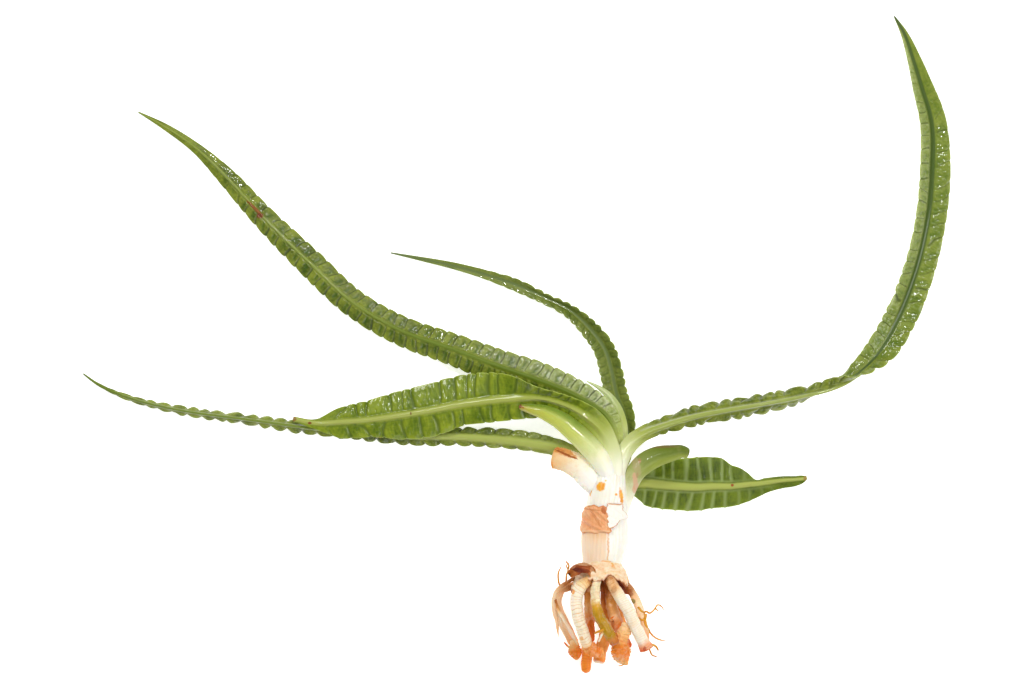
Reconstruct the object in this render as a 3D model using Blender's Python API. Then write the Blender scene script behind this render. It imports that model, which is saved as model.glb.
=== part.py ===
"""A bare-rooted crinum, a water plant with long rippled leaves, lying on its side.

Metres, +Z up. The plant lies along the XY plane: its leaves spread to -X and +X, its roots point to -Y,
and the lowest roots and leaf edges rest on Z = 0. All pieces are laid out in millimetres and scaled once,
when their meshes are made.
"""
import math

import bmesh
import bpy
import numpy as np

MM = 0.001

# Driving dimensions, in millimetres
GAP = 0.35                # clearance between a piece and the socket that it sits in
NECK_Z = 19.5             # height of the centre line of the neck and the basal plate
# A leaf's midrib: share of the leaf's length, and half thickness there
MIDRIB = [(0.0, 2.0), (0.1, 1.8), (0.35, 0.9), (1.0, 0.4)]
UNDERSIDE = 0.8           # share of the midrib's half thickness that stands out under the blade
RIB_SHARE = 0.55          # widest that a midrib gets, as a share of the half blade beside it
PLAIN_HALF = 2.6          # half width of a leaf up to which it has no ripples
RIPPLED_HALF = 5.6        # half width of a leaf from which its ripples are at full height
SHEATH_GAP = 0.5          # clearance between a torn sheath and the neck under it
SHEATH_THICKNESS = 0.9
SHEATH_STEPS = 8          # flats across a sheath
STALK_SIDES = 8
NECK_SIDES = 22
ROOT_SIDES = 6
ROOT_STEP = 4.5           # length of a root between two rings
ROOTLET_RADIUS = 0.5
ROOTLET_SIDES = 5
ROOTLET_STEP = 2.5
LEAF_BASE = 14.0          # length of leaf base that the neck's sockets follow
REST = 0.6                # height of the lowest edge as laid out, taken off so that it lies on Z = 0
SHARP_ANGLE = 50.0        # edges sharper than this, in degrees, aren't shaded smooth

# Leaves. A station is x, y, z of the midrib, the half widths on its left and right seen from the base,
# the roll, and the fold, both in degrees. A positive fold turns the halves down from the midrib; a roll of
# 180 lays the channel side up.
LEAVES = {
    "leaf_upper_left": {
        "material": "leaf_green", "pitch": 8.0, "ripple": 0.9, "rib": 1.6,
        "stations": [
            (56.5, -79.0, 19.0, 2.0, 2.0, 0, 0), (58.0, -63.5, 19.0, 2.6, 2.6, 0, 5),
            (57.5, -51.5, 20.0, 3.2, 3.2, 0, 8), (53.0, -41.0, 20.5, 6.0, 5.0, 0, 10),
            (45.0, -36.5, 20.0, 8.6, 8.6, 0, 12), (32.5, -29.5, 18.0, 10.5, 10.0, 0, 12),
            (14.5, -22.0, 15.0, 11.0, 11.0, 0, 12), (-10.0, -13.5, 12.0, 11.0, 10.5, 0, 14),
            (-39.5, -2.5, 9.0, 10.0, 9.7, 0, 15), (-68.0, 7.5, 7.0, 9.2, 9.1, 0, 15),
            (-97.0, 24.0, 5.5, 8.7, 8.5, 0, 15), (-125.5, 50.0, 4.5, 8.6, 8.5, 0, 15),
            (-154.5, 78.5, 4.0, 7.0, 7.0, 0, 15), (-173.5, 99.5, 3.2, 5.8, 5.8, 0, 15),
            (-193.0, 118.0, 2.5, 3.3, 3.3, 0, 15), (-212.0, 131.0, 1.8, 2.0, 2.0, 0, 15),
            (-227.5, 139.5, 1.2, 0.4, 0.4, 0, 15),
        ],
    },
    "leaf_top": {
        "material": "leaf_dark", "pitch": 6.0, "ripple": 1.0, "rib": 1.6,
        "stations": [
            (57.5, -79.0, 10.5, 2.0, 2.0, 180, 0), (64.5, -64.5, 10.0, 3.0, 3.0, 180, 12),
            (65.5, -53.5, 8.5, 5.5, 5.5, 178, 28), (63.5, -40.5, 7.0, 7.5, 7.5, 175, 33),
            (60.0, -31.0, 6.0, 8.0, 8.0, 171, 35), (56.5, -15.5, 5.0, 8.0, 8.0, 171, 35),
            (52.5, -2.5, 4.0, 7.6, 7.7, 170, 36), (43.5, 10.0, 3.2, 6.6, 7.0, 168, 38),
            (32.0, 20.5, 2.8, 5.6, 6.0, 166, 48), (16.5, 28.5, 2.6, 4.8, 5.2, 159, 50),
            (0.5, 35.5, 2.4, 4.5, 4.7, 167, 35), (-17.5, 41.5, 2.1, 3.2, 3.2, 174, 26),
            (-39.5, 47.5, 1.8, 2.2, 2.2, 180, 20), (-58.5, 51.5, 1.5, 1.3, 1.3, 180, 15),
            (-76.0, 55.0, 1.2, 0.4, 0.4, 180, 15),
        ],
    },
    "leaf_right": {
        "material": "leaf_green", "pitch": 8.0, "ripple": 1.2, "rib": 2.4,
        "stations": [
            (61.0, -77.5, 23.0, 2.0, 2.0, 0, 0), (63.5, -64.5, 23.0, 4.0, 4.0, 0, 10),
            (68.5, -56.0, 22.0, 4.6, 5.0, 0, 20), (76.5, -52.0, 20.0, 5.2, 5.6, 0, 32),
            (86.0, -49.0, 18.0, 6.4, 6.6, 0, 42), (107.0, -43.0, 14.0, 8.4, 8.4, 0, 46),
            (128.0, -39.0, 11.5, 8.8, 8.6, 0, 48), (148.5, -35.5, 10.0, 8.8, 8.4, 2, 50),
            (169.0, -31.5, 9.0, 8.5, 8.5, 12, 58), (179.5, -29.0, 8.5, 7.5, 7.5, 27, 66),
            (190.0, -25.5, 8.0, 7.0, 7.5, 62, 55), (200.0, -20.5, 7.5, 8.0, 8.0, 110, 34),
            (209.0, -13.5, 6.0, 9.0, 8.5, 142, 28), (217.5, -4.0, 4.0, 10.0, 9.5, 170, 23),
            (227.5, 14.0, 2.6, 11.0, 10.0, 188, 24), (236.5, 37.0, 2.2, 11.5, 10.0, 198, 23),
            (245.0, 70.0, 2.2, 11.5, 9.8, 202, 22), (248.5, 103.5, 2.2, 11.5, 9.8, 202, 22),
            (247.5, 137.0, 2.2, 9.0, 8.4, 196, 22), (242.5, 154.0, 2.1, 7.3, 6.0, 185, 20),
            (237.5, 170.5, 2.0, 5.0, 3.8, 180, 18), (231.5, 187.5, 1.8, 2.1, 2.1, 180, 15),
            (226.0, 197.0, 1.5, 0.4, 0.4, 180, 15),
        ],
    },
    "leaf_cut_left": {
        "material": "leaf_glossy", "pitch": 10.0, "ripple": 0.9, "rib": 1.6,
        "stations": [
            (55.0, -77.5, 25.5, 2.0, 2.0, 0, 0), (56.0, -65.0, 25.5, 3.5, 3.5, 0, 5),
            (52.5, -55.0, 26.5, 5.0, 4.6, -5, 5), (48.5, -49.5, 27.0, 5.5, 6.5, -12, -5),
            (42.0, -43.5, 27.0, 8.0, 8.0, -20, -10), (32.5, -37.0, 26.5, 11.0, 8.2, -35, -18),
            (23.5, -33.5, 25.5, 13.0, 9.0, -40, -20), (14.5, -31.5, 24.0, 13.4, 10.0, -38, -20),
            (2.0, -32.0, 21.5, 12.8, 13.0, -14, -6), (-16.0, -33.5, 18.0, 13.2, 17.0, 0, 6),
            (-34.5, -36.0, 15.0, 13.0, 17.5, 0, 12), (-52.5, -39.5, 13.0, 16.0, 16.0, 0, 12),
            (-70.5, -42.5, 11.5, 14.8, 14.6, 0, 12), (-88.5, -45.0, 10.5, 10.6, 11.7, 0, 12),
            (-106.5, -46.5, 9.6, 9.8, 8.7, 0, 12), (-121.5, -47.0, 8.9, 3.6, 2.3, 0, 8),
            (-134.5, -44.5, 8.6, 1.4, 1.4, 0, 0),
        ],
    },
    "leaf_low_left": {
        "material": "leaf_green", "pitch": 8.0, "ripple": 1.0, "rib": 1.5,
        "stations": [
            (49.5, -81.0, 13.0, 2.0, 2.0, 0, 0), (42.5, -74.0, 12.5, 2.2, 2.2, 0, 0),
            (37.5, -68.0, 12.0, 3.0, 3.0, 0, 8), (29.0, -62.5, 11.5, 4.2, 4.2, 0, 15),
            (19.0, -61.0, 10.5, 4.6, 6.4, 0, 20), (7.5, -59.0, 9.5, 4.8, 7.2, 0, 22),
            (-11.0, -57.0, 8.0, 5.0, 7.2, 0, 25), (-33.5, -55.5, 6.6, 5.2, 6.0, 0, 28),
            (-63.5, -55.0, 5.6, 5.8, 5.8, 0, 32), (-94.5, -52.5, 5.3, 5.4, 5.4, 0, 42),
            (-124.5, -50.0, 5.0, 5.0, 5.0, 0, 50), (-154.5, -46.0, 4.8, 4.5, 4.5, 0, 58),
            (-173.5, -43.5, 4.6, 4.3, 4.3, 0, 60), (-193.0, -41.0, 4.3, 4.0, 4.0, 0, 60),
            (-212.0, -37.5, 3.7, 3.3, 3.3, 0, 58), (-231.5, -32.5, 2.8, 2.4, 2.4, 0, 50),
            (-244.5, -27.5, 2.2, 1.5, 1.5, 0, 40), (-253.0, -23.0, 1.7, 0.9, 0.9, 0, 30),
            (-260.5, -17.5, 1.2, 0.4, 0.4, 0, 20),
        ],
    },
    "leaf_cut_right": {
        "material": "leaf_glossy", "pitch": 7.0, "ripple": 0.7, "rib": 2.4,
        "stations": [
            (58.5, -83.5, 12.5, 2.0, 2.0, 0, 0), (66.5, -83.0, 12.0, 2.6, 3.0, 0, 0),
            (71.0, -83.0, 11.5, 6.5, 8.2, 0, 5), (77.0, -83.0, 10.5, 11.0, 12.8, 0, 8),
            (86.5, -84.0, 8.8, 14.8, 14.6, 0, 12), (97.5, -85.0, 7.6, 17.0, 14.8, 0, 14),
            (107.0, -85.5, 6.8, 18.3, 14.6, 0, 14), (116.5, -85.0, 6.2, 18.2, 13.5, 0, 14),
            (122.0, -85.0, 6.0, 17.6, 13.2, 0, 14), (128.0, -85.0, 5.8, 13.8, 12.5, 0, 12),
            (136.5, -84.0, 5.5, 9.5, 11.0, 0, 12), (143.0, -83.5, 5.2, 4.0, 8.8, 0, 10),
            (158.5, -81.5, 4.6, 2.4, 4.5, 0, 6), (173.0, -80.5, 4.0, 1.4, 1.6, 0, 0),
        ],
    },
    "leaf_young": {
        "material": "leaf_pale", "pitch": 7.0, "ripple": 0.0, "rib": 1.0,
        "stations": [
            (61.5, -79.0, 15.0, 1.8, 1.8, 0, 0), (62.0, -67.0, 15.0, 2.2, 2.2, 0, 5),
            (62.5, -57.5, 15.0, 2.6, 2.8, 0, 15), (62.0, -45.5, 16.0, 2.8, 3.2, 0, 25),
            (59.0, -37.0, 16.5, 3.6, 3.2, 0, 25), (55.0, -31.0, 16.0, 2.4, 2.0, 0, 25),
            (49.0, -26.0, 15.5, 1.0, 1.0, 0, 15), (41.5, -22.0, 15.0, 0.4, 0.4, 0, 10),
        ],
    },
}

# Cut stalks, the old sheath stump and loose scraps: x, y, z of the middle, half width, half thickness, roll
STALKS = {
    "stalk_cut_left": {
        "material": "stalk_green", "step": 5.0, "socket": True,
        "stations": [
            (50.5, -77.5, 28.5, 2.0, 2.0, 0), (49.0, -68.5, 29.5, 4.6, 2.6, 0),
            (43.0, -60.5, 30.0, 6.0, 2.8, 0), (34.5, -52.0, 30.0, 5.8, 2.8, 0),
            (25.5, -45.0, 29.5, 5.4, 2.7, 0), (16.5, -40.5, 28.5, 4.4, 2.4, 0),
            (7.5, -38.5, 27.0, 2.8, 2.0, 0), (1.0, -37.0, 25.5, 1.5, 1.4, 0),
        ],
    },
    "stalk_cut_right": {
        "material": "stalk_green", "step": 5.0, "socket": True,
        "stations": [
            (61.5, -94.0, 22.0, 2.0, 1.8, 0), (65.5, -87.5, 24.0, 3.5, 2.0, 0),
            (69.8, -78.5, 25.5, 6.0, 2.3, 0), (75.0, -71.8, 26.0, 7.3, 2.5, 0),
            (82.3, -67.0, 25.5, 6.8, 2.5, 0), (92.0, -64.8, 24.0, 5.0, 2.0, 0),
            (101.8, -63.5, 22.5, 3.0, 1.4, 0),
        ],
    },
    "sheath_stump": {
        "material": "sheath_cream", "step": 4.0, "socket": True,
        "stations": [
            (49.5, -86.0, 21.0, 2.0, 1.6, 0), (44.5, -81.5, 21.5, 4.0, 1.5, 0),
            (39.5, -77.0, 21.5, 5.8, 1.3, 0), (34.0, -72.5, 21.0, 6.0, 1.1, 0),
            (27.5, -69.0, 20.0, 5.8, 0.9, 0), (20.0, -67.5, 19.0, 6.0, 0.7, 0),
        ],
    },
    "scale_dead": {
        "material": "scale_brown", "step": 3.0, "socket": False,
        "stations": [
            (43.5, -130.5, 34.0, 1.4, 0.9, 0), (40.0, -131.5, 34.0, 2.6, 1.6, 0),
            (36.0, -133.5, 32.0, 3.2, 2.0, 0), (32.0, -136.5, 28.0, 2.2, 1.6, 0),
            (29.5, -139.0, 25.5, 1.0, 0.8, 0),
        ],
    },
    "root_skin_1": {
        "material": "skin_orange", "step": 2.5, "socket": False,
        "stations": [
            (34.3, -182.0, 4.0, 1.8, 0.5, 0), (34.0, -184.5, 4.8, 2.8, 0.5, 0),
            (34.5, -187.5, 4.2, 1.2, 0.4, 0),
        ],
    },
    "root_skin_2": {
        "material": "skin_orange", "step": 2.5, "socket": False,
        "stations": [
            (42.0, -180.6, 26.0, 2.4, 0.5, 0), (45.5, -183.5, 23.0, 3.4, 0.5, 0),
            (50.5, -184.5, 20.5, 2.4, 0.4, 0),
        ],
    },
    "root_skin_3": {
        "material": "skin_orange", "step": 2.5, "socket": False,
        "stations": [
            (58.8, -179.6, 28.0, 2.6, 0.6, 0), (60.5, -183.5, 25.0, 4.6, 0.6, 0),
            (62.5, -187.5, 22.0, 3.8, 0.5, 0), (64.0, -191.0, 19.5, 1.4, 0.4, 0),
        ],
    },
}

# Roots: x, y, z and radius, from inside the basal plate to the cut or rounded end
ROOTS = {
    "root_01": {"material": "root_cream", "stations": [
        (40.0, -142.5, 17.0, 1.8), (33.0, -145.0, 16.0, 2.2), (26.0, -147.0, 14.0, 2.6),
        (23.5, -153.5, 11.5, 2.7), (24.5, -160.5, 9.0, 2.7), (28.0, -167.5, 6.5, 2.7),
        (34.5, -179.8, 3.6, 2.6)]},
    "root_02": {"material": "root_cream", "stations": [
        (37.0, -139.5, 22.5, 0.9), (31.0, -141.5, 22.0, 1.0), (23.0, -148.0, 20.5, 1.0),
        (21.5, -157.0, 18.0, 1.0), (23.5, -166.0, 16.0, 1.0), (24.5, -175.5, 14.0, 0.6)]},
    "root_03": {"material": "root_white", "stations": [
        (43.0, -141.0, 27.0, 1.8), (38.5, -144.5, 31.0, 2.8), (35.5, -149.5, 33.0, 3.5),
        (36.0, -161.0, 33.5, 3.6), (39.5, -173.0, 30.0, 3.6), (41.6, -179.8, 27.0, 3.3)]},
    "root_04": {"material": "root_olive", "stations": [
        (47.0, -140.0, 30.5, 1.8), (46.5, -146.0, 33.5, 2.5), (46.5, -152.5, 35.0, 2.9),
        (48.5, -161.5, 35.0, 3.0), (53.0, -169.5, 33.0, 3.0), (58.2, -178.5, 29.0, 2.8)]},
    "root_05": {"material": "root_white", "stations": [
        (54.0, -139.5, 30.0, 1.8), (56.5, -144.0, 33.0, 2.8), (59.5, -148.5, 34.0, 3.4),
        (66.5, -159.5, 34.0, 3.6), (70.8, -169.0, 31.0, 3.6), (77.0, -181.5, 26.0, 3.2)]},
    "root_06": {"material": "root_brown", "stations": [
        (44.0, -142.5, 20.5, 1.8), (43.0, -153.5, 22.0, 2.9), (43.0, -165.5, 21.0, 3.0),
        (43.5, -177.5, 18.5, 2.6)]},
    "root_07": {"material": "root_brown", "stations": [
        (55.0, -142.5, 22.5, 1.8), (56.0, -157.0, 23.5, 3.2), (60.5, -169.0, 22.5, 3.4),
        (65.5, -181.5, 18.5, 3.0)]},
    "root_08": {"material": "root_orange", "stations": [
        (47.0, -142.5, 13.0, 1.8), (44.5, -158.0, 8.5, 2.8), (42.0, -177.5, 4.6, 3.1),
        (41.5, -188.0, 3.6, 3.1), (41.1, -193.5, 3.3, 2.6), (41.0, -197.0, 3.2, 1.2)]},
    "root_09": {"material": "root_orange", "stations": [
        (54.0, -142.5, 14.5, 1.8), (53.0, -160.5, 14.0, 3.1), (52.5, -173.5, 14.5, 3.4),
        (50.0, -183.5, 15.0, 3.4), (48.5, -190.8, 15.0, 3.3)]},
    "root_10": {"material": "root_orange", "stations": [
        (60.0, -142.5, 13.5, 1.8), (61.0, -160.5, 7.5, 2.5), (63.5, -175.0, 4.2, 2.7),
        (64.0, -190.0, 2.9, 2.3)]},
    "root_11": {"material": "root_cream", "stations": [
        (62.0, -141.0, 22.0, 1.6), (68.5, -147.5, 24.5, 1.8), (72.0, -154.0, 24.5, 1.8),
        (75.0, -164.0, 23.0, 1.8), (78.5, -178.0, 20.0, 1.3)]},
}

# Fine side roots: x, y, z
ROOTLETS = {
    "rootlet_1": [(76.2, -159.6, 23.4), (79.0, -160.5, 22.0), (82.0, -158.5, 20.0), (83.8, -156.0, 19.0),
                  (86.0, -156.8, 17.0), (89.0, -159.5, 15.0)],
    "rootlet_2": [(79.8, -172.4, 21.0), (82.5, -175.0, 18.5), (85.5, -176.5, 15.5), (89.5, -177.5, 12.0)],
    "rootlet_3": [(25.0, -143.4, 15.5), (24.4, -140.0, 17.0), (25.0, -136.0, 18.0), (26.0, -131.0, 18.0)],
    "rootlet_4": [(29.0, -142.0, 16.5), (29.3, -138.0, 18.5), (30.0, -134.0, 20.0), (31.0, -130.0, 20.0)],
}

# Neck and basal plate: x and y of the centre line, half width and half height
NECK = [
    (55.8, -70.0, 5.0, 6.0), (55.6, -71.5, 9.0, 10.0), (55.3, -75.0, 11.6, 12.2),
    (54.5, -80.0, 13.2, 12.7), (53.5, -86.0, 13.8, 12.7), (52.6, -96.5, 13.9, 12.5),
    (52.5, -111.5, 14.2, 12.7), (52.3, -122.0, 14.2, 12.8), (52.0, -128.6, 13.8, 12.5),
]
PLATE = [
    (51.4, -129.0, 13.0, 12.0), (50.2, -131.5, 14.4, 13.6), (49.6, -135.5, 15.6, 15.0),
    (49.6, -141.5, 16.8, 16.0), (50.2, -147.5, 18.4, 16.4), (50.8, -149.6, 18.8, 16.2),
    (50.8, -149.8, 17.0, 14.6), (50.6, -147.0, 13.5, 11.5),
]

# Torn sheaths round the neck: y, and the angles from +X between which the sheath reaches there
SHEATHS = {
    "sheath_tan": {"material": "sheath_tan", "rows": [
        (-96.5, 112, 188), (-99.5, 100, 196), (-103.0, 97, 200), (-107.0, 98, 198), (-110.5, 104, 190),
        (-112.0, 120, 176)]},
    "sheath_white": {"material": "sheath_white", "rows": [
        (-95.0, 38, 86), (-98.5, 28, 89), (-102.0, 26, 91), (-105.0, 40, 90), (-109.5, 58, 88)]},
}

# Colour (sRGB hex) and roughness of each material
FINISHES = {
    "leaf_green": ("6f8a2c", 0.35), "leaf_dark": ("6a7844", 0.4), "leaf_glossy": ("7a8a30", 0.25),
    "leaf_pale": ("b4c07a", 0.35), "stalk_green": ("a6b552", 0.3), "neck_white": ("f7efdc", 0.4),
    "sheath_cream": ("edca92", 0.55), "sheath_tan": ("eba163", 0.55), "sheath_white": ("fbf7ea", 0.45),
    "plate_cream": ("f4d3a9", 0.5), "scale_brown": ("a2461f", 0.5), "root_cream": ("f0dcb8", 0.45),
    "root_white": ("f8efdc", 0.4), "root_olive": ("c39a38", 0.4), "root_orange": ("e48d38", 0.45),
    "root_brown": ("c47c3e", 0.5), "skin_orange": ("e9a45c", 0.5), "rootlet_gold": ("d99a3e", 0.5),
}


def linear(channel):
    """An sRGB channel from 0 to 1 as a linear one."""
    return channel / 12.92 if channel <= 0.04045 else ((channel + 0.055) / 1.055) ** 2.4


def finish(name):
    """The material of that name, made on first use."""
    material = bpy.data.materials.get(name)
    if material is None:
        colour, roughness = FINISHES[name]
        material = bpy.data.materials.new(name)
        material.use_nodes = True
        shader = material.node_tree.nodes["Principled BSDF"]
        rgb = [linear(int(colour[i:i + 2], 16) / 255) for i in (0, 2, 4)]
        shader.inputs["Base Color"].default_value = (*rgb, 1.0)
        shader.inputs["Roughness"].default_value = roughness
        shader.inputs["Metallic"].default_value = 0.0
    return material


def smooth_rows(stations, step):
    """Rows along a smooth curve through the stations, one for each step of its length."""
    rows = np.array(stations, dtype=float)
    along = np.concatenate([[0.0], np.cumsum(np.linalg.norm(np.diff(rows[:, :3], axis=0), axis=1))])
    slopes = np.gradient(rows, along, axis=0)
    count = max(len(rows), round(along[-1] / step)) + 1
    places = np.linspace(0.0, along[-1], count)
    result = []
    for place in places:
        i = min(int(np.searchsorted(along, place, side="right")) - 1, len(rows) - 2)
        span = along[i + 1] - along[i]
        t = (place - along[i]) / span
        start = (2 * t**3 - 3 * t**2 + 1) * rows[i] + (t**3 - 2 * t**2 + t) * span * slopes[i]
        end = (3 * t**2 - 2 * t**3) * rows[i + 1] + (t**3 - t**2) * span * slopes[i + 1]
        result.append(start + end)
    return places, np.array(result)


def frames(points):
    """For each point of a path: its direction, the level one to its left, and the one square to both."""
    directions = np.gradient(points, axis=0)
    directions /= np.linalg.norm(directions, axis=1)[:, None]
    sides = np.cross([0.0, 0.0, 1.0], directions)
    sides /= np.linalg.norm(sides, axis=1)[:, None]
    return directions, sides, np.cross(directions, sides)


def object_from_rings(name, rings, material):
    """A closed solid through rings of points in millimetres, with a flat cap at each end."""
    mesh = bpy.data.meshes.new(name)
    built = bmesh.new()
    loops = []
    for ring in rings:
        loops.append([built.verts.new((np.asarray(point) - [0.0, 0.0, REST]) * MM) for point in ring])
    for first, second in zip(loops, loops[1:]):
        for i in range(len(first)):
            j = (i + 1) % len(first)
            built.faces.new((first[i], first[j], second[j], second[i]))
    built.faces.new(list(reversed(loops[0])))
    built.faces.new(loops[-1])
    bmesh.ops.triangulate(built, faces=built.faces)
    bmesh.ops.recalc_face_normals(built, faces=built.faces)
    built.to_mesh(mesh)
    built.free()
    mesh.shade_smooth()
    mesh.set_sharp_from_angle(angle=math.radians(SHARP_ANGLE))
    mesh.materials.append(finish(material))
    obj = bpy.data.objects.new(name, mesh)
    bpy.context.scene.collection.objects.link(obj)
    return obj


def leaf_section(left, right, fold, half, rib, wave_left, wave_right):
    """Six points across a leaf, as (side, up): margin, midrib, margin, and back along the other face."""
    rise, run = math.sin(math.radians(fold)), math.cos(math.radians(fold))
    shoulder = min(rib, RIB_SHARE * min(left, right))
    return [
        (left * run + wave_left * rise, -left * rise + wave_left * run),
        (shoulder, half),
        (-shoulder, half),
        (-right * run - wave_right * rise, -right * rise + wave_right * run),
        (-shoulder, -UNDERSIDE * half),
        (shoulder, -UNDERSIDE * half),
    ]


def midrib_half(fraction):
    """Half thickness of a leaf's midrib at that fraction of its length."""
    shares, halves = zip(*MIDRIB)
    return float(np.interp(fraction, shares, halves))


def leaf_rings(leaf, rippled=True, grow=0.0, reach=None):
    """Rings of a leaf. Grown and cut short at its base, they are the socket that the neck holds it in."""
    places, rows = smooth_rows(leaf["stations"], leaf["pitch"] / 2)
    directions, sides, ups = frames(rows[:, :3])
    length = places[-1]
    rings = []
    for i, (place, row) in enumerate(zip(places, rows)):
        if reach is not None and place > reach:
            break
        left, right, roll, fold = row[3] + grow, row[4] + grow, math.radians(row[5]), row[6]
        spread = float(np.interp(min(row[3], row[4]), [PLAIN_HALF, RIPPLED_HALF], [0.0, 1.0]))
        wave = leaf["ripple"] * spread * (1 if i % 2 else -1) if rippled else 0.0
        half = midrib_half(place / length) + grow
        centre = row[:3] - directions[i] * (grow if i == 0 else 0.0)
        ring = []
        for u, v in leaf_section(left, right, fold, half, leaf["rib"], wave, -wave):
            across = u * math.cos(roll) - v * math.sin(roll)
            above = u * math.sin(roll) + v * math.cos(roll)
            ring.append(centre + across * sides[i] + above * ups[i])
        rings.append(ring)
    return rings


def oval_rings(rows, sides_count, grow=0.0):
    """Rings of an oval bar along rows of x, y, z, half width, half thickness and roll."""
    directions, sides, ups = frames(rows[:, :3])
    rings = []
    for i, row in enumerate(rows):
        centre = row[:3] - directions[i] * (grow if i == 0 else 0.0)
        roll = math.radians(row[5])
        ring = []
        for k in range(sides_count):
            angle = 2 * math.pi * k / sides_count
            u, v = (row[3] + grow) * math.cos(angle), (row[4] + grow) * math.sin(angle)
            across = u * math.cos(roll) - v * math.sin(roll)
            above = u * math.sin(roll) + v * math.cos(roll)
            ring.append(centre + across * sides[i] + above * ups[i])
        rings.append(ring)
    return rings


def barrel_rings(profile, sides_count):
    """Rings of an upright oval section that travels along -Y, for the neck and the basal plate."""
    rings = []
    for x, y, half_width, half_height in profile:
        ring = []
        for k in range(sides_count):
            angle = 2 * math.pi * k / sides_count
            ring.append((x + half_width * math.cos(angle), y, NECK_Z + half_height * math.sin(angle)))
        rings.append(ring)
    return rings


def neck_at(y):
    """Centre x, half width and half height of the neck at that y."""
    table = np.array(NECK)[::-1]
    return [float(np.interp(y, table[:, 1], table[:, column])) for column in (0, 2, 3)]


def sheath(name, rows, material):
    """A torn sheath: a curved sheet lying on the neck, closed along all four edges."""
    inner, outer = [], []
    for y, first, last in rows:
        x, half_width, half_height = neck_at(y)
        for offset, sheet in ((SHEATH_GAP, inner), (SHEATH_GAP + SHEATH_THICKNESS, outer)):
            line = []
            for k in range(SHEATH_STEPS + 1):
                angle = math.radians(first + (last - first) * k / SHEATH_STEPS)
                line.append((x + (half_width + offset) * math.cos(angle), y,
                             NECK_Z + (half_height + offset) * math.sin(angle)))
            sheet.append(line)
    rings = [near + list(reversed(far)) for near, far in zip(inner, outer)]
    return object_from_rings(name, rings, material)


def cutter(name, rings):
    """A grown copy of a piece's base, which its neighbour is cut with."""
    obj = object_from_rings(name, rings, "neck_white")
    obj.hide_render = True
    obj.display_type = "WIRE"
    return obj


def cut(obj, tools):
    """Sockets in the object, one for each cutter."""
    for tool in tools:
        modifier = obj.modifiers.new(tool.name, "BOOLEAN")
        modifier.operation = "DIFFERENCE"
        modifier.object = tool


def root_rows(stations, step):
    """Rows of a root for an oval bar, from its stations of x, y, z and radius."""
    rows = smooth_rows(stations, step)[1]
    return np.column_stack([rows[:, :4], rows[:, 3], np.zeros(len(rows))])


def build_leaves():
    """The leaves, and the cutters for their sockets in the neck."""
    sockets = []
    for name, leaf in LEAVES.items():
        object_from_rings(name, leaf_rings(leaf), leaf["material"])
        sockets.append(cutter("socket_" + name, leaf_rings(leaf, False, GAP, LEAF_BASE)))
    return sockets


def build_stalks():
    """The cut stalks, the stump and the loose scraps, and the cutters for those that sit in the neck."""
    sockets = []
    for name, stalk in STALKS.items():
        rows = smooth_rows(stalk["stations"], stalk["step"])[1]
        object_from_rings(name, oval_rings(rows, STALK_SIDES), stalk["material"])
        if stalk["socket"]:
            sockets.append(cutter("socket_" + name, oval_rings(rows, STALK_SIDES, GAP)))
    return sockets


def build_roots():
    """The roots and rootlets, and the cutters for the roots' sockets in the basal plate."""
    sockets = []
    for name, root in ROOTS.items():
        rows = root_rows(root["stations"], ROOT_STEP)
        object_from_rings(name, oval_rings(rows, ROOT_SIDES), root["material"])
        sockets.append(cutter("socket_" + name, oval_rings(rows, ROOT_SIDES, GAP)))
    for name, points in ROOTLETS.items():
        rows = root_rows([(*point, ROOTLET_RADIUS) for point in points], ROOTLET_STEP)
        object_from_rings(name, oval_rings(rows, ROOTLET_SIDES), "rootlet_gold")
    return sockets


def main():
    for obj in list(bpy.data.objects):
        bpy.data.objects.remove(obj, do_unlink=True)
    neck = object_from_rings("neck", barrel_rings(NECK, NECK_SIDES), "neck_white")
    cut(neck, build_leaves() + build_stalks())
    for name, torn in SHEATHS.items():
        sheath(name, torn["rows"], torn["material"])
    plate = object_from_rings("basal_plate", barrel_rings(PLATE, NECK_SIDES), "plate_cream")
    cut(plate, build_roots())


main()
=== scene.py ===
"""Looks of a bare-rooted crinum on its side: wet rippled leaves, a white neck and thick cut roots.

Run as a script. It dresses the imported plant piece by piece, one operator for each group of pieces, and adds
a white floor, soft light and a camera that looks straight down.
"""
import math
from functools import partial
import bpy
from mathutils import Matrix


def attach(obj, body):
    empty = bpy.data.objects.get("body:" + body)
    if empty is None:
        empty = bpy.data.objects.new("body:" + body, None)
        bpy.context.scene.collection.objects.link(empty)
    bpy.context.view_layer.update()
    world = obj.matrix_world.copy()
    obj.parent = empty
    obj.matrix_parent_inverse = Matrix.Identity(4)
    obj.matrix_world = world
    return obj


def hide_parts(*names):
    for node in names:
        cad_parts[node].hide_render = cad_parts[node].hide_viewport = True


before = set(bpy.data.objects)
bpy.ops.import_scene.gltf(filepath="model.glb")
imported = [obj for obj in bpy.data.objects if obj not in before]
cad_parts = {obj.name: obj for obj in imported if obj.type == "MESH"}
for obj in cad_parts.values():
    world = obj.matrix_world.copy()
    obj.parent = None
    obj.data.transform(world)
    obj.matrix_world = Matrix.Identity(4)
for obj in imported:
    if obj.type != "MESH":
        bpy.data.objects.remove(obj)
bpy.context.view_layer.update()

from types import SimpleNamespace

import bmesh
import bpy
import numpy as np
from bpy.props import FloatProperty, FloatVectorProperty, PointerProperty
from bpy.types import Operator, Panel, PropertyGroup
from mathutils import Matrix, Vector

bl_info = {
    "name": "Crinum Looks",
    "version": (1, 0, 0),
    "blender": (4, 5, 0),
    "location": "View3D > Sidebar > Crinum",
    "description": "Dresses a bare-rooted crinum with rippled leaves, torn sheaths and ringed roots",
    "category": "Object",
}

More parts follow.
